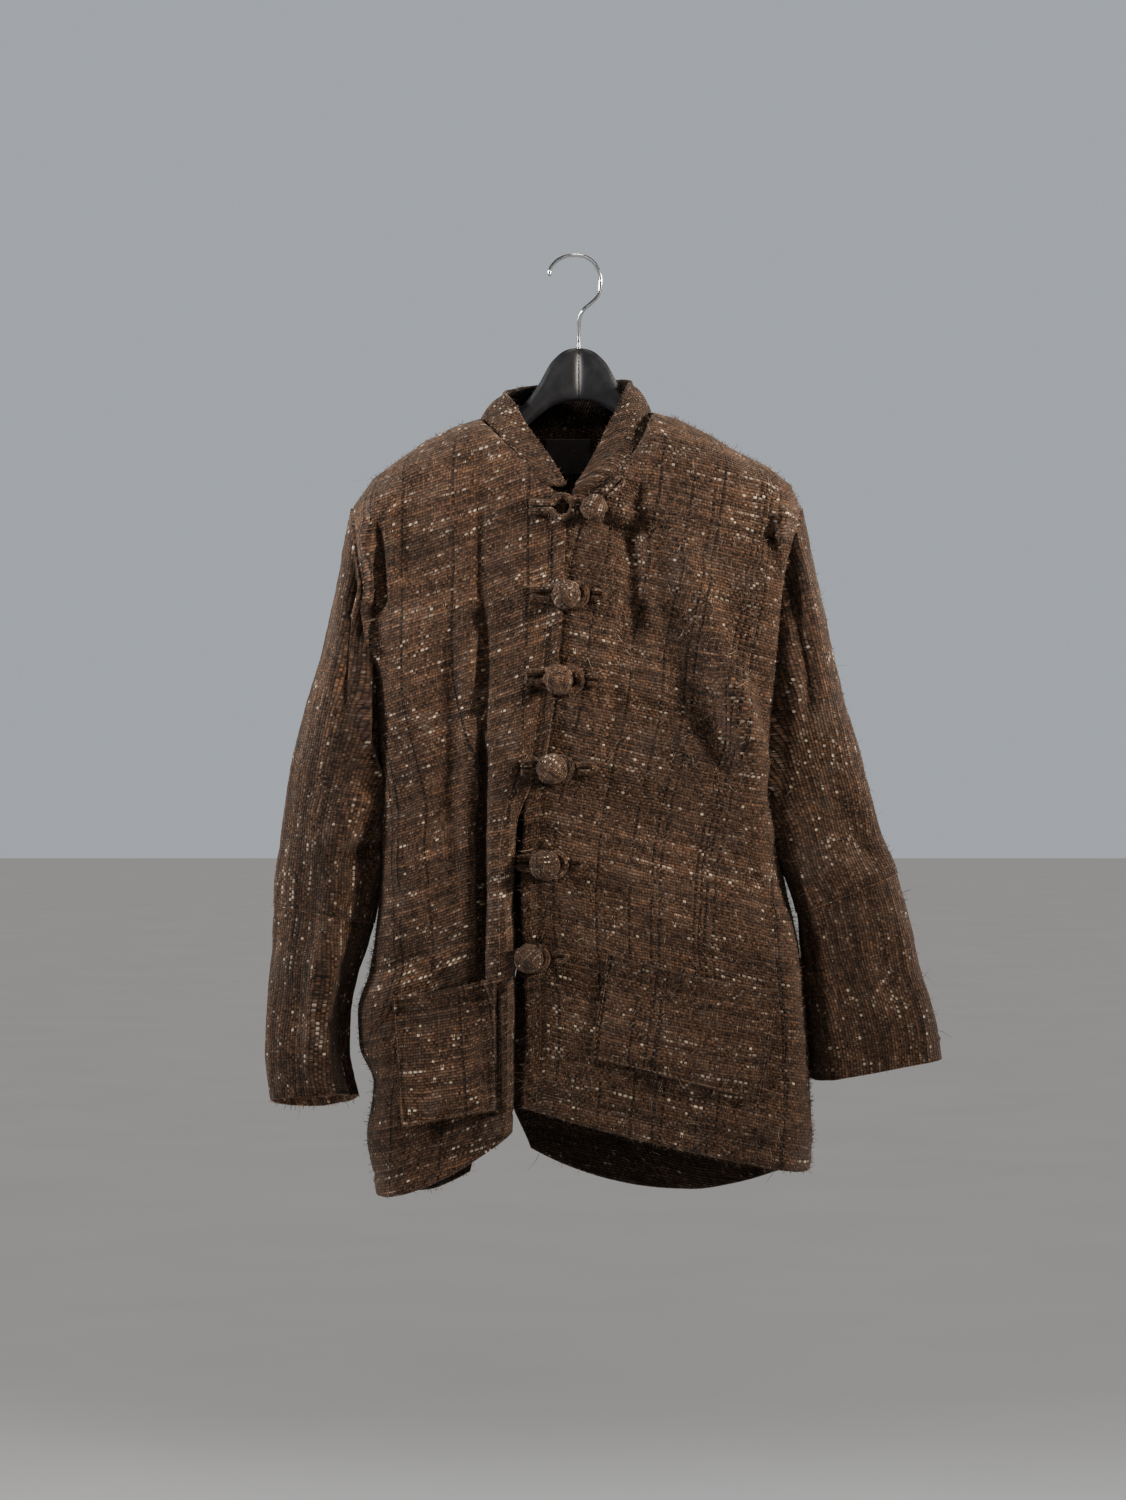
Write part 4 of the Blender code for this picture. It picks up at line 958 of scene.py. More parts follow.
def sleeve_grain(grid):
    """A sleeve's cloth coordinates: down its length, and round it with one column more, for
    the faces that close the ring."""
    closed = np.concatenate((grid, grid[:, :1]), axis=1)
    axis = unit(grid[-1].mean(axis=0) - grid[0].mean(axis=0))
    step = np.diff(closed, axis=1)
    step -= axis * (step * axis).sum(axis=2, keepdims=True)
    size = np.linalg.norm(step, axis=2)
    zero = np.zeros((len(grid), 1))
    around = np.concatenate((zero, np.cumsum(size, axis=1)), axis=1)
    down = ((closed - closed[0, 0]) * axis).sum(axis=2)
    return np.stack((down, around), axis=-1)


def sleeve_pieces(side, cloth, material):
    """The upper sleeve, out of the armhole, and the lower one, pieced on below the elbow."""
    loop = armhole_loop(side)
    angles, levels, _ = loop
    seam = SLEEVE_SEAM[side]
    turn = 1.0 if side == "right" else -1.0
    number = 7 if side == "right" else 9
    parts = (
        ("upper", np.linspace(0, 1, UPPER_COUNT) ** 1.15 * seam),
        ("lower", np.linspace(seam, 1, LOWER_COUNT)),
    )
    for part, ts in parts:
        grid = sleeve_grid(side, ts, loop)
        way = inward(grid, around=True) * turn
        lift = np.stack([sleeve_crease(side, t, angles) for t in ts])
        lift += ripple(grid, cloth.ripple, number)
        down = walk(grid, 0)
        thick = np.full(grid.shape[:2], cloth.wall)
        if part == "upper":
            lift *= ease(down / SLEEVE_CALM)
            drop = 0
        else:
            share = (ts - seam) / (1 - seam)
            lift += (0.6 * SEAM_RIDGE * (1 - ease(share / 0.25)))[:, None]
            edge = hem_profile(down[-1:] - down, cloth.hem * 1.05)
            lift += edge
            thick = thick + np.maximum(edge, 0) * HEM_THICK
            drop = -SEAM_LAP
        moved = grid - way * lift[..., None]
        moved[0, :, 2] -= drop
        if side == "right":
            tip = ease((ts - SLEEVE_TIP) / (1 - SLEEVE_TIP))[:, None]
            turned_up = np.where(np.sin(angles) > 0, 5 * MM, 13 * MM) * np.sin(angles)
            moved[..., 2] += tip * turned_up
        if part == "upper":
            for k, (angle, v) in enumerate(zip(angles, levels)):
                face = "front" if angle <= math.pi else "back"
                direction = seam_way(f"{face}_{side}", 0, v, grid[0, k])
                if v < 1:
                    way[0, k] = unit(np.array(direction, dtype=float))
        uv = sleeve_grain(grid) + np.array((2.1 + ts[0], 0 if side == "right" else 0.7))
        name = f"sleeve_{side}_{part}"
        piece = shell(
            f"cloth_{name}", moved, way, thick, uv, material, around=True, soft=0.8 * MM,
        )
        cloth_piece(name)


def neck_points():
    """The neck seam from the right front round to the left, as the panels have it."""
    runs = (
        ("front_right", 0, -1), ("back_right", 2, 1), ("back_left", 4, -1), ("front_left", 6, 1),
    )
    for panel, start, way in runs:
        stations = [u for u in panel_stations(panel) if u >= 1]
        points = panel_row(panel, stations, 0.0)
        order = range(len(stations))[::way]
        for k in order:
            at = start + (stations[k] - 1 if way > 0 else 3 - stations[k])
            if at >= COLLAR_START and (panel == "front_right" or at > start + 1e-6):
                yield at, points[k] - np.array((0, 0, SEAM_LAP))


def collar_piece(cloth, material):
    """The stand collar: a band between the neck seam and its top edge, a little rounded."""
    shares = np.linspace(0, 1, COLLAR_ROWS_ACROSS)
    seams, tops, outs = [], [], []
    for at, seam in neck_points():
        seams.append(seam)
        top = [read(COLLAR_ROWS, COLLAR_COLUMNS, name, at) for name in COLLAR_COLUMNS[1:]]
        tops.append([size * MM for size in top])
        outs.append(unit(np.array((seam[0] - NECK_X, seam[1], 0.0))))
    seams, tops, outs = np.array(seams), np.array(tops), np.array(outs)
    grid = np.stack([
        mix(seams, tops, s) + outs * COLLAR_BULGE * math.sin(math.pi * s) for s in shares
    ])
    way = -inward(grid)
    up, round_neck = walk(grid, 0), walk(grid, 1)
    lift = ripple(grid, cloth.ripple * 0.8, 12) * ease(up / (10 * MM))
    to_top = up[-1:] - up
    lift += hem_profile(to_top, COLLAR_HEM) * 0.6
    moved = grid - way * lift[..., None]
    way[0] = -outs
    uv = np.stack((up + 3.3, round_neck), axis=-1)
    piece = shell("cloth_collar", moved, way, cloth.collar_wall, uv, material)
    cloth_piece("collar")


def every(items, name, wide=1, kind=float):
    """One value of each item of a mesh, as an array."""
    values = np.empty(len(items) * wide, dtype=kind)
    items.foreach_get(name, values)
    return values.reshape(-1, wide) if wide > 1 else values


def surface_of(*pieces):
    """Finds the first surface that a line meets in the given pieces."""
    points, faces = [], []
    for piece in pieces:
        base = len(points)
        points += [v.co.copy() for v in piece.data.vertices]
        faces += [[base + i for i in face.vertices] for face in piece.data.polygons]
    return BVHTree.FromPolygons(points, faces)


def front_y(tree, x, z):
    hit = tree.ray_cast(Vector((x, -1.0, z)), Vector((0, 1, 0)))[0]
    return None if hit is None else hit.y


def laid(tree, flat, reach, out):
    """Flat x and z points laid on the cloth around them and moved out from it."""
    around = ((0, 0), (-reach, 0), (reach, 0), (0, -reach), (0, reach))
    depths = []
    for x, z in flat:
        near = [front_y(tree, x + dx, z + dz) for dx, dz in around]
        depths.append(min((y for y in near if y is not None), default=None))
    known = [i for i, y in enumerate(depths) if y is not None]
    path = []
    for i, (x, z) in enumerate(flat):
        before = max((k for k in known if k <= i), default=known[0])
        after = min((k for k in known if k >= i), default=known[-1])
        t = (i - before) / (after - before) if after > before else 0
        path.append(np.array((x, mix(depths[before], depths[after], t) - out, z)))
    return path


def smooth_path(points, step):
    """A smooth curve through points, read at even steps."""
    points = [np.asarray(p, dtype=float) for p in points]
    ends = [points[0] * 2 - points[1], *points, points[-1] * 2 - points[-2]]
    curve = []
    for i in range(1, len(ends) - 2):
        p0, p1, p2, p3 = ends[i - 1:i + 3]
        for k in range(16):
            t = k / 16
            curve.append(
                0.5 * (2 * p1 + (p2 - p0) * t + (2 * p0 - 5 * p1 + 4 * p2 - p3) * t**2
                       + (3 * p1 - p0 - 3 * p2 + p3) * t**3)
            )
    curve.append(points[-1])
    curve = np.array(curve)
    walked = walked_along(curve)
    wanted = np.linspace(0, walked[-1], max(3, round(walked[-1] / step) + 1))
    return np.stack([np.interp(wanted, walked, curve[:, k]) for k in range(3)], axis=1)


def ring_faces(rings, sides, base=0):
    """Faces between rings of points that follow each other, round and then along."""
    faces = []
    for i in range(rings - 1):
        for k in range(sides):
            a, b = base + i * sides + k, base + i * sides + (k + 1) % sides
            faces.append((a, b, b + sides, a + sides))
    return faces


def closed_faces(rings, sides):
    """The faces of rings of points and of their two flat ends."""
    last = (rings - 1) * sides
    ends = [tuple(range(sides))[::-1], tuple(last + k for k in range(sides))]
    return ring_faces(rings, sides) + ends


def walked_along(line):
    """How far each point of a line is from its start."""
    return np.concatenate(([0], np.cumsum(np.linalg.norm(np.diff(line, axis=0), axis=1))))


def tube(name, path, radius, material, sides=14, seam=0.0, seed=0, blunt=True):
    """A round cord along a path. seam is the depth of the groove where its cloth is rolled."""
    path = np.asarray(path)
    way = unit(np.gradient(path, axis=0))
    side = unit(np.cross(way, (0, 1, 0)))
    out = np.cross(side, way)
    walked = walked_along(path)
    points, uvs = [], []
    for i, point in enumerate(path):
        ends = min(walked[i], walked[-1] - walked[i])
        swell = roll(0.35 + ends / radius) if blunt else 1.0
        for k in range(sides):
            angle = 2 * math.pi * k / sides
            spoke = side[i] * math.cos(angle) + out[i] * math.sin(angle)
            twist = angle - walked[i] * CORD_TWIST
            size = radius * swell * (1 - seam * max(0.0, math.cos(twist)) ** 6)
            lump = Vector(point + spoke * radius) / LUMP_SPACING + Vector((seed, 0, 0))
            size *= 1 + LUMPS * noise.noise(lump)
            points.append(point + spoke * size)
            uvs.append((walked[i] + seed * 0.37, radius * angle))
    return piece_mesh(name, points, closed_faces(len(path), sides), uvs, material)


def band_ball(name, centre, foot, wide, cord, material, seed):
    """A ball knotted of rolled cloth: crossing bands that pass over and under each other."""
    axis = unit(centre - foot)
    height = np.linalg.norm(centre - foot)
    side = unit(np.cross(axis, (0, 0, 1)))
    up = np.cross(side, axis)
    radius = wide / 2
    bands = [(unit(np.array(normal)), offset) for normal, offset in BANDS]
    c, s = math.cos(seed * 0.9), math.sin(seed * 0.9)
    turned = np.array(((c, -s, 0), (s, c, 0), (0, 0, 1)))
    half = cord * BAND
    points, uvs = [], []
    for i in range(BALL_RINGS + 1):
        tilt = math.pi * i / BALL_RINGS
        for k in range(BALL_SIDES):
            angle = 2 * math.pi * k / BALL_SIDES
            level = math.sin(tilt)
            local = np.array((level * math.cos(angle), level * math.sin(angle), math.cos(tilt)))
            spun = turned @ local
            best, uv = 0.0, (angle * radius, tilt * radius)
            for number, (normal, offset) in enumerate(bands):
                height_on = float(spun @ normal)
                apart = abs(math.asin(max(-1, min(1, height_on))) - offset) * radius
                if apart < half:
                    start = unit(np.cross(normal, (0.1, 0.3, 1.0)))
                    across = np.cross(normal, start)
                    way = math.atan2(float(spun @ across), float(spun @ start))
                    over = 0.8 + 0.2 * math.cos(3 * way + number * 2.1)
                    rise = math.sqrt(1 - (apart / half) ** 2) * half * over
                    if rise > best:
                        best, uv = rise, (way * radius + number * 0.05, apart)
            size = radius - BAND_GROOVE * (1 - best / half)
            size *= 1 + 0.02 * noise.noise(Vector(local) * 3 + Vector((seed * 7.1, 0, 0)))
            depth = BALL_FLATNESS * local[2]
            points.append(centre + (side * local[0] + up * local[1] + axis * depth) * size)
            uvs.append((uv[0] * KNOT_FINENESS + seed * 0.11, uv[1] * KNOT_FINENESS + seed * 0.2))
    faces = [(a, d, c, b) for a, b, c, d in ring_faces(BALL_RINGS + 1, BALL_SIDES)]
    faces += ring_faces(3, STEM_SIDES, len(points))
    for share in (0.0, 0.35, 0.75):
        for k in range(STEM_SIDES):
            angle = 2 * math.pi * k / STEM_SIDES
            spread = STEM * (1.12 - 0.2 * math.sin(math.pi * share))
            spoke = (side * math.cos(angle) + up * math.sin(angle)) * spread
            points.append(foot + axis * height * share + spoke)
            uvs.append((height * share, spread * angle))
    return piece_mesh(name, points, faces, uvs, material)


def closing_pieces(number, row, tree, cloth, material, knot):
    """One closing: the knotted ball on its shank, the loop round it and the sewn tail."""
    value = dict(zip(CLOSING_COLUMNS, row))
    x, z, wide = value["x"] * MM, value["z"] * MM, value["wide"] * MM
    loop_x, loop_z = value["loop_x"] * MM, value["loop_z"] * MM
    cord = cloth.cord / 2
    half = cord + 0.1 * MM
    if value["reach"] is None:
        open_x, open_z, radius = (n * MM for n in OPEN_LOOP)
        spread = math.asin(half / radius)
        near = mix(loop_x, open_x - radius, 0.6)
        flat = [(loop_x, open_z + half + 1 * MM), (near, open_z + half)]
        for k in range(OPEN_STEPS + 1):
            angle = mix(math.pi - spread, spread - math.pi, k / OPEN_STEPS)
            flat.append((open_x + radius * math.cos(angle), open_z + radius * math.sin(angle)))
        flat += [(near, open_z - half), (loop_x, open_z - half - 1 * MM)]
    else:
        turn = LOOP_TURN
        end = x + value["reach"] * MM - turn
        near, middle = mix(loop_x, end, 0.35), mix(loop_z, z, 0.3)
        flat = [(loop_x, loop_z + half), (near, middle + half + 1.5 * MM)]
        flat += [(mix(loop_x, end, 0.7), z + turn * 0.85)]
        for k in range(TURN_STEPS + 1):
            angle = math.radians(mix(75, -75, k / TURN_STEPS))
            flat.append((end + turn * math.cos(angle), z + turn * math.sin(angle)))
        flat += [(mix(loop_x, end, 0.7), z - turn * 0.85)]
        flat += [(near, middle - half - 1.5 * MM), (loop_x, loop_z - half)]

    def cord_path(flat, radius):
        even = smooth_path([(px, 0, pz) for px, pz in flat], LOOP_STEP)
        reach = radius * 0.9
        path = np.array(laid(tree, [(p[0], p[2]) for p in even], reach, ON_CLOTH + reach))
        ys = path[:, 1].copy()
        for i in range(len(path)):
            path[i, 1] = ys[max(0, i - 3):i + 4].min()
        path[:, 1] = np.convolve(np.pad(path[:, 1], 3, mode="edge"), np.ones(7) / 7, mode="valid")
        return path

    loop = cord_path(flat, cord)
    sewn = tube(f"cord_loop_{number}", loop, cord, material, seam=CORD_SEAM, seed=number)
    stands_for(f"loop_{number}")

    foot_x, foot_z = value["foot_x"] * MM, value["foot_z"] * MM
    foot = np.array((foot_x, laid(tree, [(foot_x, foot_z)], SHANK, ON_CLOTH)[0][1], foot_z))
    near = [p[1] for p in loop if math.hypot(p[0] - x, p[2] - z) < wide * BALL_COVERS]
    lowest = min(near, default=foot[1])
    centre_y = min(lowest - cord, foot[1] - cord) - wide * BALL_RISE
    ball = band_ball(
        f"knot_ball_{number}", np.array((x, centre_y, z)), foot, wide, cloth.cord, knot, number,
    )
    stands_for(f"ball_{number}")

    thin = cloth.tail_cord / 2
    gap = thin + 0.1 * MM
    if value["reach"] is None:
        start = np.array((foot_x + 7 * MM, foot_z + 11 * MM))
    else:
        start = np.array((x + value["reach"] * MM + cord + thin * 0.4, z))
    end = np.array((value["tail_x"], value["tail_z"])) * MM
    way = unit(end - start)
    side = np.array((-way[1], way[0]))
    flat = [start + side * gap, end + side * gap - way * thin, end + way * thin * 0.4]
    flat += [end - side * gap - way * thin, start - side * gap]
    tail = tube(
        f"cord_tail_{number}", cord_path(flat, thin), thin, material,
        seam=CORD_SEAM, seed=number + 20,
    )
    stands_for(f"tail_{number}")


def pocket_piece(name, tree, cloth, material):
    corners = [np.array((x * MM, z * MM)) for x, z in POCKETS[name]]
    across, down = POCKET_ACROSS, POCKET_DOWN
    flat = []
    for i in range(down + 1):
        for j in range(across + 1):
            s, t = j / across, i / down
            point = mix(mix(corners[0], corners[1], s), mix(corners[3], corners[2], s), t)
            point = point - np.array((0, POCKET_DIP * math.sin(math.pi * s) * (1 - t)))
            flat.append(point)
    grid = np.array(laid(tree, flat, 2.2 * MM, ON_CLOTH)).reshape(down + 1, across + 1, 3)
    for _ in range(3):
        ys = grid[..., 1].copy()
        ys[1:-1, 1:-1] = (ys[:-2, 1:-1] + ys[2:, 1:-1] + ys[1:-1, :-2] + ys[1:-1, 2:]) / 4
        grid[..., 1] = np.minimum(ys, grid[..., 1] + 0.3 * MM)
    to_side, to_top = walk(grid, 1), walk(grid, 0)
    to_end, to_bottom = to_side[:, -1:] - to_side, to_top[-1:] - to_top
    sewn = np.minimum(np.minimum(to_side, to_end), to_bottom)

    def swell(form, distance):
        out, reach = form
        return out * MM * np.exp(-((distance / (reach * MM)) ** 2))

    lift = POCKET_FULL[0] * MM * ease(sewn / (POCKET_FULL[1] * MM))
    lift += swell(POCKET_BAG, to_bottom) + swell(POCKET_RIM, sewn) + swell(POCKET_MOUTH, to_top)
    lift += np.minimum(ripple(grid, cloth.ripple * 0.8, 15) * ease(sewn / (10 * MM)), 1.5 * MM)
    lift -= swell(POCKET_GROOVE, sewn - POCKET_SEWN)
    lift += 1.2 * hem_profile(to_top, POCKET_HEM)
    lift = np.maximum(lift, 0)
    outer = grid - np.array((0, 1, 0)) * (cloth.wall + lift)[..., None]
    way = np.zeros(grid.shape) + (0.0, 1.0, 0.0)
    right = name.endswith("right")
    uv = np.stack((to_side + (5.1 if right else 6.2), to_top + 0.4), axis=-1)
    piece = shell(f"cloth_{name}", outer, way, cloth.wall, uv, material)
    cloth_piece(name)


def label_piece(tree, material):
    """The bare label on the inside of the back, its ends curled a little towards the cloth."""
    (x0, z0), (x1, z1) = LABEL
    across, down = LABEL_ACROSS, LABEL_DOWN
    grid = np.empty((down + 1, across + 1, 3))
    depth = 0.0
    for i in range(down + 1):
        for j in range(across + 1):
            x, z = mix(x0, x1, j / across) * MM, mix(z0, z1, i / down) * MM
            hit = tree.ray_cast(Vector((x, 0.0, z)), Vector((0, 1, 0)))[0]
            depth = hit.y if hit else depth
            curl = 0.6 * MM * (abs(2 * j / across - 1) ** 8)
            grid[i, j] = (x, depth - 1.6 * MM + curl * 0.5, z)
    way = np.zeros(grid.shape) + (0.0, 1.0, 0.0)
    uv = np.stack((walk(grid, 1), walk(grid, 0)), axis=-1)
    piece = shell("ribbon_label", grid, way, LABEL_WALL, uv, material)
    stands_for("label")


def shoulder_z(x):
    """The height of the shoulders' outer crest at x."""
    side = "right" if x < 0 else "left"
    crest = np.array(sorted(p for p in FRONT_TOP[side] if p[1] > 4), dtype=float)
    return float(np.interp(x / MM, crest[:, 0], crest[:, 2])) * MM


def hanger_piece(material):
    """A moulded shoulder hanger: rounded sections from tip to tip, creased at the middle."""
    names = ("out", "top", "under", "half", "y")
    sides = 48
    rings, uvs = [], []
    reach = HANGER_ROWS[-1][0]
    outs = np.concatenate((np.linspace(0, 80, 60), np.linspace(82, reach, 60)))
    for sign, out in [(-1, o) for o in outs[:0:-1]] + [(1, o) for o in outs]:
        top, under, half, y = (read(HANGER_ROWS, names, name, out) for name in names[1:])
        x = HANGER_X + sign * out * MM
        top_z = (top - sign * out * HANGER_TILT) * MM
        under_z = (under - sign * out * HANGER_TILT) * MM
        if not NECK_SPAN[0] <= x <= NECK_SPAN[1]:
            top_z = min(top_z, shoulder_z(x) - UNDER_CLOTH)
        crease = HANGER_CREASE * math.exp(-out / 3.5)
        half = half * MM - crease * 0.4
        middle, tall = (top_z + under_z) / 2, (top_z - under_z) / 2
        for k in range(sides):
            angle = 2 * math.pi * (k + 0.5) / sides
            c, s = math.cos(angle), math.sin(angle)
            depth = math.copysign(abs(c) ** 0.85, c) * half - c * crease
            rings.append((x, y * MM + depth, middle + math.copysign(abs(s) ** 0.8, s) * tall))
            uvs.append((x, angle * 0.02))
    faces = closed_faces(len(rings) // sides, sides)
    piece = piece_mesh("hanger_body", rings, faces, uvs, material)
    piece.data.set_sharp_from_angle(angle=math.radians(50))
    stands_for("hanger")


def hook_piece(material):
    points = [np.array((x * MM, 0, z * MM)) for x, z in HOOK_ROWS]
    back = HANGER_ROWS[0][4] * MM
    for index, share in ((-1, 1.0), (-2, 0.8), (-3, 0.35)):
        points[index][1] = back * share
    points.append(np.array((HANGER_X, back, HANGER_ROWS[0][1] * MM - HOOK_SINK + 1 * MM)))
    path = smooth_path(points, 1.6 * MM)
    piece = tube("hanger_hook", path, HOOK_WIRE, material, sides=20)
    stands_for("hook")


class Nodes:
    """Short ways to add a material's nodes."""

    def __init__(self, name):
        self.material = bpy.data.materials.new(name)
        self.material.use_nodes = True
        self.tree = self.material.node_tree
        self.shader = self.tree.nodes["Principled BSDF"]

    def add(self, kind, **settings):
        node = self.tree.nodes.new(kind)
        for key, value in settings.items():
            setattr(node, key, value)
        return node

    def feed(self, socket, value):
        if isinstance(value, bpy.types.NodeSocket):
            self.tree.links.new(value, socket)
        else:
            socket.default_value = value

    def math(self, operation, *values, clamp=False):
        node = self.add("ShaderNodeMath", operation=operation, use_clamp=clamp)
        for socket, value in zip(node.inputs, values):
            self.feed(socket, value)
        return node.outputs[0]

    def times(self, a, b, clamp=False):
        return self.math("MULTIPLY", a, b, clamp=clamp)

    def plus(self, a, b):
        return self.math("ADD", a, b)

    def minus(self, a, b, clamp=False):
        return self.math("SUBTRACT", a, b, clamp=clamp)

    def scaled(self, value, factor, offset):
        return self.math("MULTIPLY_ADD", value, factor, offset)

    def above(self, value, limit):
        return self.math("GREATER_THAN", value, limit)

    def cloth_map(self):
        """The map's two coordinates, in metres: the whole vector, then one by one."""
        at = self.add("ShaderNodeUVMap", uv_map="Cloth").outputs["UV"]
        split = self.add("ShaderNodeSeparateXYZ")
        self.feed(split.inputs[0], at)
        return at, split.outputs[0], split.outputs[1]

    def chance(self, place, where):
        """An even random number for each place: W takes a number, Vector a vector."""
        sizes = "1D" if where == "W" else "2D"
        node = self.add("ShaderNodeTexWhiteNoise", noise_dimensions=sizes)
        self.feed(node.inputs[where], place)
        return node.outputs["Value"]

    def colour(self, value):
        self.feed(self.shader.inputs["Base Color"], value)

    def vector(self, x, y, z):
        node = self.add("ShaderNodeCombineXYZ")
        for socket, value in zip(node.inputs, (x, y, z)):
            self.feed(socket, value)
        return node.outputs[0]

    def cloud(self, vector, scale=1.0, detail=2.0, roughness=0.5):
        node = self.add("ShaderNodeTexNoise")
        self.feed(node.inputs["Vector"], vector)
        node.inputs["Scale"].default_value = scale
        node.inputs["Detail"].default_value = detail
        node.inputs["Roughness"].default_value = roughness
        return node.outputs["Fac"]

    def ramp(self, value, *stops):
        node = self.add("ShaderNodeValToRGB")
        self.feed(node.inputs["Fac"], value)
        elements = node.color_ramp.elements
        for element, (at, colour) in zip((elements[0], elements[1]), (stops[0], stops[-1])):
            element.position, element.color = at, (*colour, 1)
        for at, colour in stops[1:-1]:
            elements.new(at).color = (*colour, 1)
        return node.outputs["Color"]

    def blend(self, factor, a, b, way="MIX"):
        node = self.add("ShaderNodeMix", data_type="RGBA", blend_type=way)
        self.feed(node.inputs["Factor"], factor)
        for socket, value in ((node.inputs["A"], a), (node.inputs["B"], b)):
            sockets = [s for s in node.inputs if s.name == socket.name and s.type == "RGBA"]
            self.feed(sockets[0], value)
        return [s for s in node.outputs if s.type == "RGBA"][0]

    def set(self, **values):
        for name, value in values.items():
            self.shader.inputs[name.replace("_", " ")].default_value = value

    def bump(self, height, strength, distance):
        node = self.add("ShaderNodeBump")
        self.feed(node.inputs["Height"], height)
        node.inputs["Strength"].default_value = strength
        node.inputs["Distance"].default_value = distance
        self.tree.links.new(node.outputs["Normal"], self.shader.inputs["Normal"])


DARK_WARPS = 0.90  # above this share a warp yarn is almost black
WARP_BREAKS = 0.38  # below this its line is broken
NUBS, NUB_LIFT = 0.986, 0.16  # above this share a crossing has a pale nub, and by how much
FLECKS = 0.13  # how much every crossing strays from its run of colour
RUN_LENGTH = 72  # runs of one colour along a weft yarn, in a metre
INNER_PAINTED_SHADE = 0.68  # how much painted shade darkens a cloth's inner side
YARN_HEIGHT = 1.9 * MM
WEFT_STOPS = (0.27, 0.40, 0.50, 0.55, 0.60, 0.645, 0.69, 0.735, 0.86)
WEFT_YARNS = ("shade", "brown", "brown", "rust", "brown", "tan", "grey", "cream", "cream")
WARP_STOPS = (0.34, 0.47, 0.56, 0.62, 0.68, 0.76)
WARP_YARNS = ("shade", "brown", "tan", "rust", "brown", "grey")
HAIR_STOPS = (0.0, 0.5, 0.7, 0.88, 1.0)
HAIR_YARNS = ("brown", "tan", "rust", "grey", "cream")


def yarn_stops(colours, places, names):
    """A ramp's stops: each yarn's colour at its place."""
    return [(at, tuple(getattr(colours, name))) for at, name in zip(places, names)]


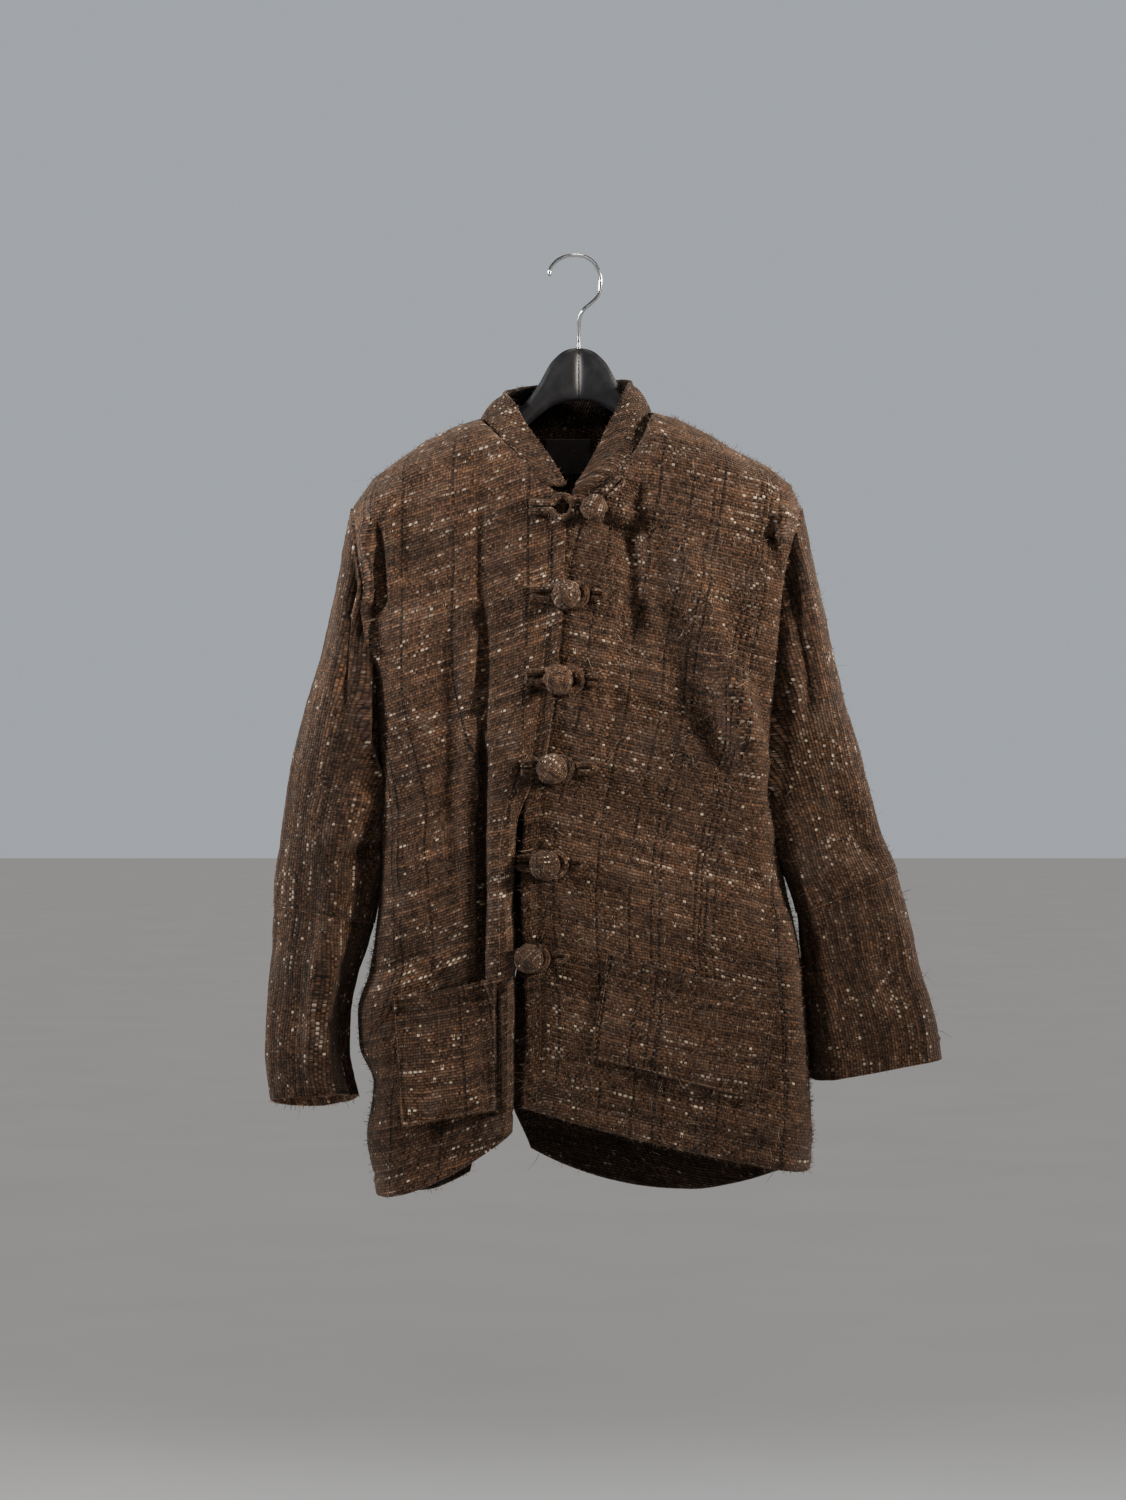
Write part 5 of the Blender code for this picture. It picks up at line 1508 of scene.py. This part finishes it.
def tweed(name, cloth, colours, slubs=0.0, tone=1.0, relief=0.85, lines=0.4):
    """Plain-woven handspun wool. U runs along the weft and V along the warp, in metres."""
    n = Nodes(name)
    _, place_u, place_v = n.cloth_map()
    u, v = place_u, place_v
    drift = n.cloud(n.vector(u, v, 3.1), 30, 2)
    sway = n.cloud(n.vector(u, v, 8.7), 26, 2)
    u = n.plus(u, n.times(n.minus(drift, 0.5), 0.0045))
    v = n.plus(v, n.times(n.minus(sway, 0.5), 0.0060))

    a, b = n.math("DIVIDE", u, cloth.warp), n.math("DIVIDE", v, cloth.weft)
    column, row = n.math("FLOOR", a), n.math("FLOOR", b)
    in_column, in_row = n.math("FRACT", a), n.math("FRACT", b)

    def round_yarn(share):
        rest = n.minus(1.0, share)
        return n.math("POWER", n.times(n.times(share, rest), 4.0), 0.6)

    def wave(along, other):
        phase = n.times(n.plus(n.minus(along, 0.5), other), math.pi)
        return n.math("COSINE", phase)

    spun = n.cloud(n.vector(n.times(u, 80), n.times(row, 9.7), 1.3), 1, 1)
    plump = n.scaled(spun, 0.8, 0.62)
    weft_wave = n.scaled(wave(a, row), 0.27, 0.73)
    weft_high = n.times(n.times(round_yarn(in_row), weft_wave), plump)
    warp_wave = n.scaled(wave(b, column), -0.36, 0.36)
    dark = n.above(n.chance(column, "W"), DARK_WARPS)
    broken = n.cloud(n.vector(column, n.times(v, 24), 2.0), 1, 1)
    dark = n.times(dark, n.above(broken, WARP_BREAKS))
    warp_high = n.times(round_yarn(in_column), warp_wave)
    warp_high = n.times(warp_high, n.scaled(dark, 1.1, 1.0))
    weft_on_top = n.above(weft_high, warp_high)
    high = n.math("MAXIMUM", weft_high, warp_high)

    runs = n.cloud(n.vector(n.times(u, RUN_LENGTH), n.times(row, 5.13), 0.0), 1, 3, 0.55)
    rich = n.cloud(n.vector(n.times(u, 7.5), n.times(row, 3.7), 4.2), 1, 1)
    patch = n.cloud(n.vector(u, v, 6.6), 15, 3, 0.6)
    richer = n.times(n.minus(rich, 0.585, clamp=True), 0.85)
    patchy = n.times(n.minus(patch, 0.5), 0.34)
    cell = n.chance(n.vector(column, row, 0.0), "Vector")
    nub = n.times(n.above(cell, NUBS), NUB_LIFT)
    fleck = n.scaled(cell, FLECKS, -0.062)
    runs = n.plus(n.plus(runs, richer), n.plus(patchy, slubs))
    runs = n.plus(runs, n.plus(nub, fleck))
    weft = n.ramp(runs, *yarn_stops(colours, WEFT_STOPS, WEFT_YARNS))
    spots = n.cloud(n.vector(n.times(column, 4.3), n.times(v, 90), 7.0), 1, 2, 0.6)
    warp = n.ramp(spots, *yarn_stops(colours, WARP_STOPS, WARP_YARNS))
    warp = n.blend(n.times(dark, 2.3 * lines), warp, (*[c * 0.35 for c in colours.shade], 1))
    cloth_colour = n.blend(weft_on_top, warp, weft)

    fibre = n.cloud(n.vector(n.times(u, 1300), n.times(v, 520), 0.0), 1, 3, 0.7)
    cross = n.cloud(n.vector(n.times(u, 480), n.times(v, 1100), 5.0), 1, 3, 0.7)
    fluff = n.math("MAXIMUM", fibre, cross)
    felt = n.ramp(fluff, (0.5, (0.0, 0.0, 0.0)), (0.78, (1.0, 1.0, 1.0)))
    cloth_colour = n.blend(n.times(felt, 0.20), cloth_colour, (*colours.tan, 1))
    worn = n.cloud(n.vector(u, v, 1.7), 27, 4, 0.65)
    greyed = n.times(n.minus(worn, 0.52, clamp=True), 2.6, clamp=True)
    cloth_colour = n.blend(n.times(greyed, 0.45), cloth_colour, (*colours.grey, 1))

    row_tone = n.scaled(n.chance(n.plus(row, 0.5), "W"), 0.60, 0.70)
    batch = n.cloud(n.vector(n.times(u, 3.0), n.times(row, 0.21), 2.2), 1, 2)
    level = n.cloud(n.vector(u, v, 9.0), 9, 3, 0.55)
    level = n.times(n.scaled(level, 1.3, 0.35), n.scaled(batch, 1.2, 0.4))
    # Painted shade: the hollows between the yarns are darkened by how low the yarn lies there
    depth = n.scaled(n.math("POWER", high, 1.2, clamp=True), 1.45 * tone, 0.10 * tone)
    # Painted shade: the inner side of the cloth is darkened; the dark warp yarns darken it too, as
    # their own colour
    inner = n.above(place_u, INSIDE / 2)
    inner_shade_and_dark_warps = n.minus(1.0, n.times(inner, INNER_PAINTED_SHADE))
    inner_shade_and_dark_warps = n.times(inner_shade_and_dark_warps, n.minus(1.0, n.times(dark, lines)))
    # Painted shade of the hollows and the inner side, times the cloth's own uneven tone of rows,
    # patches and dark warps
    painted_shade_and_tone = n.times(n.times(depth, level), n.times(row_tone, inner_shade_and_dark_warps))
    cloth_colour = n.blend(1.0, cloth_colour, n.vector(painted_shade_and_tone, painted_shade_and_tone, painted_shade_and_tone), "MULTIPLY")
    n.colour(cloth_colour)
    n.set(Roughness=0.92, Sheen_Weight=0.10, Sheen_Roughness=0.5)
    n.shader.inputs["Sheen Tint"].default_value = (1.0, 0.88, 0.74, 1)
    n.shader.inputs["Specular IOR Level"].default_value = 0.2
    n.bump(n.plus(high, n.times(fluff, 0.45)), relief, YARN_HEIGHT)
    return n.material


def hair_wool(colours):
    """Stray hairs, each of one colour from its own place in the map."""
    n = Nodes("stray_wool")
    own = n.chance(n.cloth_map()[0], "Vector")
    n.colour(n.ramp(own, *yarn_stops(colours, HAIR_STOPS, HAIR_YARNS)))
    n.set(Roughness=0.8)
    n.shader.inputs["Specular IOR Level"].default_value = 0.25
    return n.material


def sewing_thread(colours):
    n = Nodes("sewing_thread")
    twist = n.cloud(n.cloth_map()[0], 900, 2)
    tan = tuple(colours.tan)
    pale = tuple(0.36 * c for c in colours.cream)
    n.colour(n.ramp(twist, (0.35, tan), (0.65, pale)))
    n.set(Roughness=0.7)
    return n.material


def label_ribbon(colours):
    """A close-woven ribbon: fine ribs across it and a firmer edge."""
    n = Nodes("label_ribbon")
    at, u, v = n.cloth_map()
    ribs = n.math("SINE", n.times(v, 2 * math.pi / RIBBON_RIB))
    threads = n.math("SINE", n.times(u, 2 * math.pi / RIBBON_THREAD))
    weave = n.scaled(n.times(ribs, threads), 0.25, 0.5)
    base = tuple(colours.label)
    lighter = tuple(c * 2.2 for c in base)
    worn = n.cloud(at, 160, 3)
    tone = n.plus(n.times(weave, 0.6), n.times(worn, 0.4))
    n.colour(n.ramp(tone, (0.3, base), (0.75, lighter)))
    n.set(Roughness=0.7)
    n.bump(weave, 0.4, 0.2 * MM)
    return n.material


def satin_moulding(colours):
    """Black satin plastic with faint mould marks and handling scuffs."""
    n = Nodes("satin_moulding")
    at = n.add("ShaderNodeTexCoord").outputs["Object"]
    grain = n.cloud(at, 1400, 2)
    scuffs = n.cloud(at, 60, 4, 0.65)
    base = tuple(colours.hanger)
    dusty = tuple(c + 0.014 for c in base)
    n.colour(n.ramp(scuffs, (0.45, base), (0.8, dusty)))
    n.feed(n.shader.inputs["Roughness"], n.scaled(scuffs, 0.24, 0.3))
    n.bump(grain, 0.06, 0.3 * MM)
    return n.material


def plated_wire(colours):
    """Bright plating with drawn streaks along the wire and a little wear."""
    n = Nodes("plated_wire")
    _, u, v = n.cloth_map()
    streaks = n.cloud(n.vector(n.times(u, 60), n.times(v, 1800), 0.0), 1, 3)
    base = tuple(colours.hook)
    duller = tuple(c * 0.72 for c in base)
    n.colour(n.ramp(streaks, (0.35, duller), (0.65, base)))
    n.feed(n.shader.inputs["Roughness"], n.scaled(streaks, 0.2, 0.1))
    n.set(Metallic=1.0)
    n.bump(streaks, 0.05, 0.1 * MM)
    return n.material


def plain_floor(colours):
    n = Nodes("plain_floor")
    at = n.add("ShaderNodeTexCoord").outputs["Object"]
    base = tuple(colours.floor)
    paler = tuple(min(1.0, c * 1.04) for c in base)
    n.colour(n.ramp(n.cloud(at, 3, 2), (0.3, base), (0.7, paler)))
    n.set(Roughness=0.85)
    return n.material


LONG_HAIRS, LONG_HAIR = 0.02, 2.6  # their share, and how many usual lengths they have
USUAL_MOST = 1.9  # the longest other hair, in usual lengths
HAIR_SPREAD = 0.8 * MM  # how far a root is from its face's middle
HAIR_SINK = 0.3 * MM
HAIR_STANDS = (0.2, 1.0)
HAIR_WIDTHS = (0.13 * MM, 0.27 * MM)


def fuzz_piece(name, pieces, cloth, density, material, seed, long_share):
    """Stray hairs that stand off the outer side of cloth pieces, as thin bent blades."""
    rng = np.random.default_rng(seed)
    roots, normals, weights = [], [], []
    for piece in pieces:
        mesh = piece.data
        faces = mesh.polygons
        starts = every(faces, "loop_start", kind=np.int32)
        spread = every(mesh.uv_layers["Cloth"].data, "uv", 2, np.float32)
        seen = spread[starts, 0] < INSIDE / 2
        roots.append(every(faces, "center", 3)[seen])
        normals.append(every(faces, "normal", 3)[seen])
        weights.append(every(faces, "area")[seen])
    roots, normals, weights = map(np.concatenate, (roots, normals, weights))
    count = int(weights.sum() * density)
    chosen = rng.choice(len(roots), size=count, p=weights / weights.sum())
    root = roots[chosen] + rng.normal(0, HAIR_SPREAD, (count, 3))
    normal = normals[chosen]
    root -= normal * ((root - roots[chosen]) * normal).sum(axis=1, keepdims=True)
    root -= normal * HAIR_SINK
    lean = unit(rng.normal(0, 1, (count, 3)))
    lean = unit(lean - normal * (lean * normal).sum(axis=1, keepdims=True))
    length = cloth.hair * rng.lognormal(-0.15, 0.42, (count, 1))
    long = rng.random((count, 1)) < long_share
    length = np.where(long, length * LONG_HAIR, np.minimum(length, cloth.hair * USUAL_MOST))
    stand = rng.uniform(*HAIR_STANDS, (count, 1))
    curl = unit(rng.normal(0, 1, (count, 3)))
    middle = root + length * 0.55 * (lean * (1 - stand * 0.5) + normal * stand)
    tip = middle + length * 0.5 * (lean * 0.75 + normal * stand * 0.15 + curl * 0.5)
    wide = rng.uniform(*HAIR_WIDTHS, (count, 1))
    side = unit(np.cross(lean, normal) + 0.3 * curl) * wide
    points = np.stack((root - side, root + side, middle + side, middle - side, tip), axis=1)
    base = np.arange(count)[:, None] * 5
    quads = (base + np.array((0, 1, 2, 3))).tolist()
    tips = (base + np.array((3, 2, 4))).tolist()
    own = rng.random((count, 2))
    uvs = np.repeat(own, 5, axis=0)
    piece = piece_mesh(name, points.reshape(-1, 3), quads + tips, uvs, material)


def stitch_lines():
    """Where stitches show: lines of x and z on the front, in metres, and how heavy they are."""
    lines = []
    for panel in ("front_right", "front_left"):
        levels = [v for v in panel_levels() if v > 0.12]
        across = 1 if panel.endswith("right") else -1
        edge = np.array([panel_row(panel, [2.9999], v)[0] for v in levels])
        lines.append((edge[:, [0, 2]] - np.array((15 * MM * across, 0)), 1.0))
        stations = np.linspace(0.02, 2.97, 90)
        hem = panel_row(panel, stations, 2.0)
        lines.append((hem[:, [0, 2]] + np.array((0, 20 * MM)), 1.0))
    for corners, heavy in zip(POCKETS.values(), (1.4, 0.9)):
        c = [np.array(p) * MM for p in corners]
        middle = sum(c) / 4
        inside = [p + (middle - p) * 0.035 for p in c]
        lines.append((np.array((inside[0], inside[3], inside[2], inside[1])), heavy))
    return lines


def stitch_piece(tree, material):
    """Short hand stitches along the hems, the front edges and the pockets."""
    points, faces, uvs = [], [], []
    length, step, half = STITCH, STITCH_STEP, STITCH_HALF
    for line, heavy in stitch_lines():
        walked = walked_along(line)
        for at in np.arange(step, walked[-1] - step, step):
            ends = [
                np.array([np.interp(at + part, walked, line[:, k]) for k in (0, 1)])
                for part in (0, length / 2, length)
            ]
            depths = [front_y(tree, p[0], p[1]) for p in ends]
            if None in depths or max(depths) - min(depths) > 3 * MM:
                continue
            side = unit(np.array((-(ends[2] - ends[0])[1], (ends[2] - ends[0])[0])))
            base = len(points)
            for p, y, size, out in zip(ends, depths, (0.5, 1.0, 0.5), (0.05, 0.5, 0.05)):
                for k in range(6):
                    angle = math.pi * k / 3
                    offset = side * math.cos(angle) * half * size * heavy
                    depth = y - out * half * heavy - math.sin(angle) * half * size
                    points.append((p[0] + offset[0], depth, p[1] + offset[1]))
                    uvs.append((at + size, angle * half))
            faces += ring_faces(3, 6, base)
    piece = piece_mesh("hem_stitches", points, faces, uvs, material)


def found(name):
    item = bpy.data.objects.get(name)
    if item is None:
        raise RuntimeError(f"{name} isn't built yet")
    return item


FRONTS = ("cloth_front_right", "cloth_front_left")
BACKS = ("cloth_back_right", "cloth_back_left")
POCKET_PIECES = ("cloth_pocket_right", "cloth_pocket_left")
FLOOR_REACH, FLOOR_LEVEL = 30.0, -1.42
CAMERA_PLACE = (-0.014, -4.05, -0.499)
CAMERA_ANGLE = 21.24
CHEST, MIDDLE = (0, 0, -0.15), (0, 0, -0.35)
# The soft lights: name, place, what each points at, size, power, colour and spread.
LIGHTS = (
    ("key_light", (2.8, -1.1, 0.45), CHEST, 0.6, 8.0, (1.0, 0.90, 0.79), 40),
    ("fill_light", (-2.8, -1.05, 0.45), CHEST, 0.6, 5.9, (0.97, 0.96, 0.96), 40),
    ("front_light", (0.4, -3.6, 1.2), CHEST, 1.2, 0.7, (1.0, 0.97, 0.94), 50),
    ("back_light", (2.8, 1.3, 0.7), MIDDLE, 0.8, 8.0, (0.95, 0.97, 1.0), 60),
    ("back_fill", (-2.9, 1.2, 0.6), MIDDLE, 0.8, 7.5, (1.0, 0.95, 0.9), 60),
)


class JACKET_OT_panels(bpy.types.Operator):
    """Builds the two fronts and the two halves of the back"""

    bl_idname = "jacket.panels"
    bl_label = "Fronts and back"

    def execute(self, context):
        cloth, colours = context.scene.jacket_cloth, context.scene.jacket_colours
        wool = tweed("body_tweed", cloth, colours)
        for panel in PANELS:
            panel_piece(panel, cloth, wool)
        return {"FINISHED"}


class JACKET_OT_sleeves(bpy.types.Operator):
    """Builds each sleeve in its two pieces, its cloth turned a quarter"""

    bl_idname = "jacket.sleeves"
    bl_label = "Sleeves"

    def execute(self, context):
        cloth, colours = context.scene.jacket_cloth, context.scene.jacket_colours
        # Painted light: the sleeves' cloth is brighter than the body's, the same wool, for the
        # light the body keeps off them
        wool = tweed("sleeve_tweed", cloth, colours, tone=2.05, relief=0.5, lines=0.15)
        for side in SLEEVES:
            sleeve_pieces(side, cloth, wool)
        return {"FINISHED"}


class JACKET_OT_collar(bpy.types.Operator):
    """Builds the stand collar"""

    bl_idname = "jacket.collar"
    bl_label = "Collar"

    def execute(self, context):
        cloth, colours = context.scene.jacket_cloth, context.scene.jacket_colours
        # Painted shade: the collar's cloth is darker than the body's, the same wool, for the
        # stronger light that falls on it
        collar_piece(cloth, tweed("collar_tweed", cloth, colours, slubs=0.01, tone=0.62))
        return {"FINISHED"}


class JACKET_OT_pockets(bpy.types.Operator):
    """Lays the patch pockets on the fronts"""

    bl_idname = "jacket.pockets"
    bl_label = "Pockets"

    def execute(self, context):
        cloth = context.scene.jacket_cloth
        tree = surface_of(*map(found, FRONTS))
        for name in POCKETS:
            pocket_piece(name, tree, cloth, bpy.data.materials["body_tweed"])
        return {"FINISHED"}


class JACKET_OT_closings(bpy.types.Operator):
    """Ties the knotted balls and lays their loops and tails"""

    bl_idname = "jacket.closings"
    bl_label = "Balls and loops"

    def execute(self, context):
        cloth, colours = context.scene.jacket_cloth, context.scene.jacket_colours
        wool = tweed("cord_tweed", cloth, colours, slubs=0.02, tone=0.85)
        knot = tweed("knot_tweed", cloth, colours, slubs=0.045, tone=1.15)
        tree = surface_of(*map(found, (*FRONTS, "cloth_collar")))
        for number, row in enumerate(CLOSINGS, start=1):
            closing_pieces(number, row, tree, cloth, wool, knot)
        return {"FINISHED"}


class JACKET_OT_label(bpy.types.Operator):
    """Sews the bare label inside the back"""

    bl_idname = "jacket.label"
    bl_label = "Label"

    def execute(self, context):
        tree = surface_of(*map(found, BACKS))
        label_piece(tree, label_ribbon(context.scene.jacket_colours))
        return {"FINISHED"}


class JACKET_OT_hanger(bpy.types.Operator):
    """Moulds the hanger and bends its hook"""

    bl_idname = "jacket.hanger"
    bl_label = "Hanger and hook"

    def execute(self, context):
        colours = context.scene.jacket_colours
        hanger_piece(satin_moulding(colours))
        hook_piece(plated_wire(colours))
        return {"FINISHED"}


class JACKET_OT_stitches(bpy.types.Operator):
    """Sews the visible stitches"""

    bl_idname = "jacket.stitches"
    bl_label = "Stitches"

    def execute(self, context):
        tree = surface_of(*map(found, FRONTS + POCKET_PIECES))
        stitch_piece(tree, sewing_thread(context.scene.jacket_colours))
        return {"FINISHED"}


class JACKET_OT_fuzz(bpy.types.Operator):
    """Raises the stray hairs of the wool"""

    bl_idname = "jacket.fuzz"
    bl_label = "Stray hairs"

    def execute(self, context):
        cloth = context.scene.jacket_cloth
        wool = hair_wool(context.scene.jacket_colours)
        sleeves = [f"cloth_sleeve_{side}_{part}" for side in SLEEVES for part in ("upper", "lower")]
        trims = ["cloth_collar"]
        for number in range(1, len(CLOSINGS) + 1):
            trims += [f"{kind}_{number}" for kind in ("knot_ball", "cord_loop", "cord_tail")]
        groups = (
            ("hairs_fronts", FRONTS + POCKET_PIECES, 1.0, LONG_HAIRS),
            ("hairs_backs", BACKS, 1.0, LONG_HAIRS),
            ("hairs_sleeves", sleeves, 1.0, LONG_HAIRS),
            ("hairs_trims", trims, 1.3, 0.0),
        )
        for seed, (name, names, share, long_share) in enumerate(groups, start=11):
            pieces = [found(item) for item in names]
            fuzz_piece(name, pieces, cloth, cloth.hairs * share, wool, seed, long_share)
        return {"FINISHED"}


class JACKET_OT_stage(bpy.types.Operator):
    """Sets the floor, the soft lights and the camera"""

    bl_idname = "jacket.stage"
    bl_label = "Stage"

    def execute(self, context):
        colours = context.scene.jacket_colours
        mesh = bpy.data.meshes.new("stage_floor")
        ways = ((-1, -1), (1, -1), (1, 1), (-1, 1))
        corners = [(FLOOR_REACH * x, FLOOR_REACH * y, FLOOR_LEVEL) for x, y in ways]
        mesh.from_pydata(corners, [], [(0, 1, 2, 3)])
        mesh.materials.append(plain_floor(colours))
        floor = bpy.data.objects.new("stage_floor", mesh)
        context.collection.objects.link(floor)

        world = bpy.data.worlds.new("soft_room")
        world.use_nodes = True
        tree = world.node_tree
        room = tree.nodes["Background"]
        room.inputs["Color"].default_value = (0.88, 0.88, 0.88, 1)
        room.inputs["Strength"].default_value = 0.07
        backdrop = tree.nodes.new("ShaderNodeBackground")
        backdrop.inputs["Color"].default_value = (0.80, 0.87, 0.95, 1)
        backdrop.inputs["Strength"].default_value = 0.52
        seen = tree.nodes.new("ShaderNodeLightPath").outputs["Is Camera Ray"]
        choose = tree.nodes.new("ShaderNodeMixShader")
        tree.links.new(seen, choose.inputs[0])
        tree.links.new(room.outputs[0], choose.inputs[1])
        tree.links.new(backdrop.outputs[0], choose.inputs[2])
        tree.links.new(choose.outputs[0], tree.nodes["World Output"].inputs["Surface"])
        context.scene.world = world

        sun = bpy.data.lights.new("high_light", "SUN")
        sun.energy, sun.angle, sun.color = 1.0, math.radians(14), (1.0, 0.95, 0.88)
        high = bpy.data.objects.new("high_light", sun)
        high.rotation_euler = Vector((-0.06, 0.12, -1.0)).to_track_quat("-Z", "Y").to_euler()
        context.collection.objects.link(high)

        for name, place, target, size, power, colour, spread in LIGHTS:
            light = bpy.data.lights.new(name, "AREA")
            light.shape, light.size, light.energy, light.color = "DISK", size, power, colour
            light.spread = math.radians(spread)
            lamp = bpy.data.objects.new(name, light)
            lamp.location = place
            way = Vector(target) - Vector(place)
            lamp.rotation_euler = way.to_track_quat("-Z", "Y").to_euler()
            context.collection.objects.link(lamp)

        lens = bpy.data.cameras.new("photo_camera")
        lens.sensor_fit = "VERTICAL"
        lens.angle = math.radians(CAMERA_ANGLE)
        camera = bpy.data.objects.new("photo_camera", lens)
        camera.location = CAMERA_PLACE
        camera.rotation_euler = (math.radians(90), 0, 0)
        context.collection.objects.link(camera)
        context.scene.camera = camera
        return {"FINISHED"}


OPERATORS = (
    JACKET_OT_panels, JACKET_OT_sleeves, JACKET_OT_collar, JACKET_OT_pockets, JACKET_OT_closings,
    JACKET_OT_label, JACKET_OT_hanger, JACKET_OT_stitches, JACKET_OT_fuzz, JACKET_OT_stage,
)


class JACKET_PT_sidebar(bpy.types.Panel):
    """The jacket's sizes, colours and steps"""

    bl_idname = "JACKET_PT_sidebar"
    bl_label = "Jacket"
    bl_space_type = "VIEW_3D"
    bl_region_type = "UI"
    bl_category = "Jacket"

    def draw(self, context):
        for group in (context.scene.jacket_cloth, context.scene.jacket_colours):
            box = self.layout.box()
            for name in group.__annotations__:
                box.prop(group, name)
        for operator in OPERATORS:
            self.layout.operator(operator.bl_idname)


CLASSES = (JacketCloth, JacketColours, *OPERATORS, JACKET_PT_sidebar)


def register():
    for item in CLASSES:
        bpy.utils.register_class(item)
    bpy.types.Scene.jacket_cloth = PointerProperty(type=JacketCloth)
    bpy.types.Scene.jacket_colours = PointerProperty(type=JacketColours)


def unregister():
    del bpy.types.Scene.jacket_cloth
    del bpy.types.Scene.jacket_colours
    for item in reversed(CLASSES):
        bpy.utils.unregister_class(item)


def main():
    register()
    for operator in OPERATORS:
        group, name = operator.bl_idname.split(".")
        getattr(getattr(bpy.ops, group), name)()


if __name__ == "__main__":
    main()
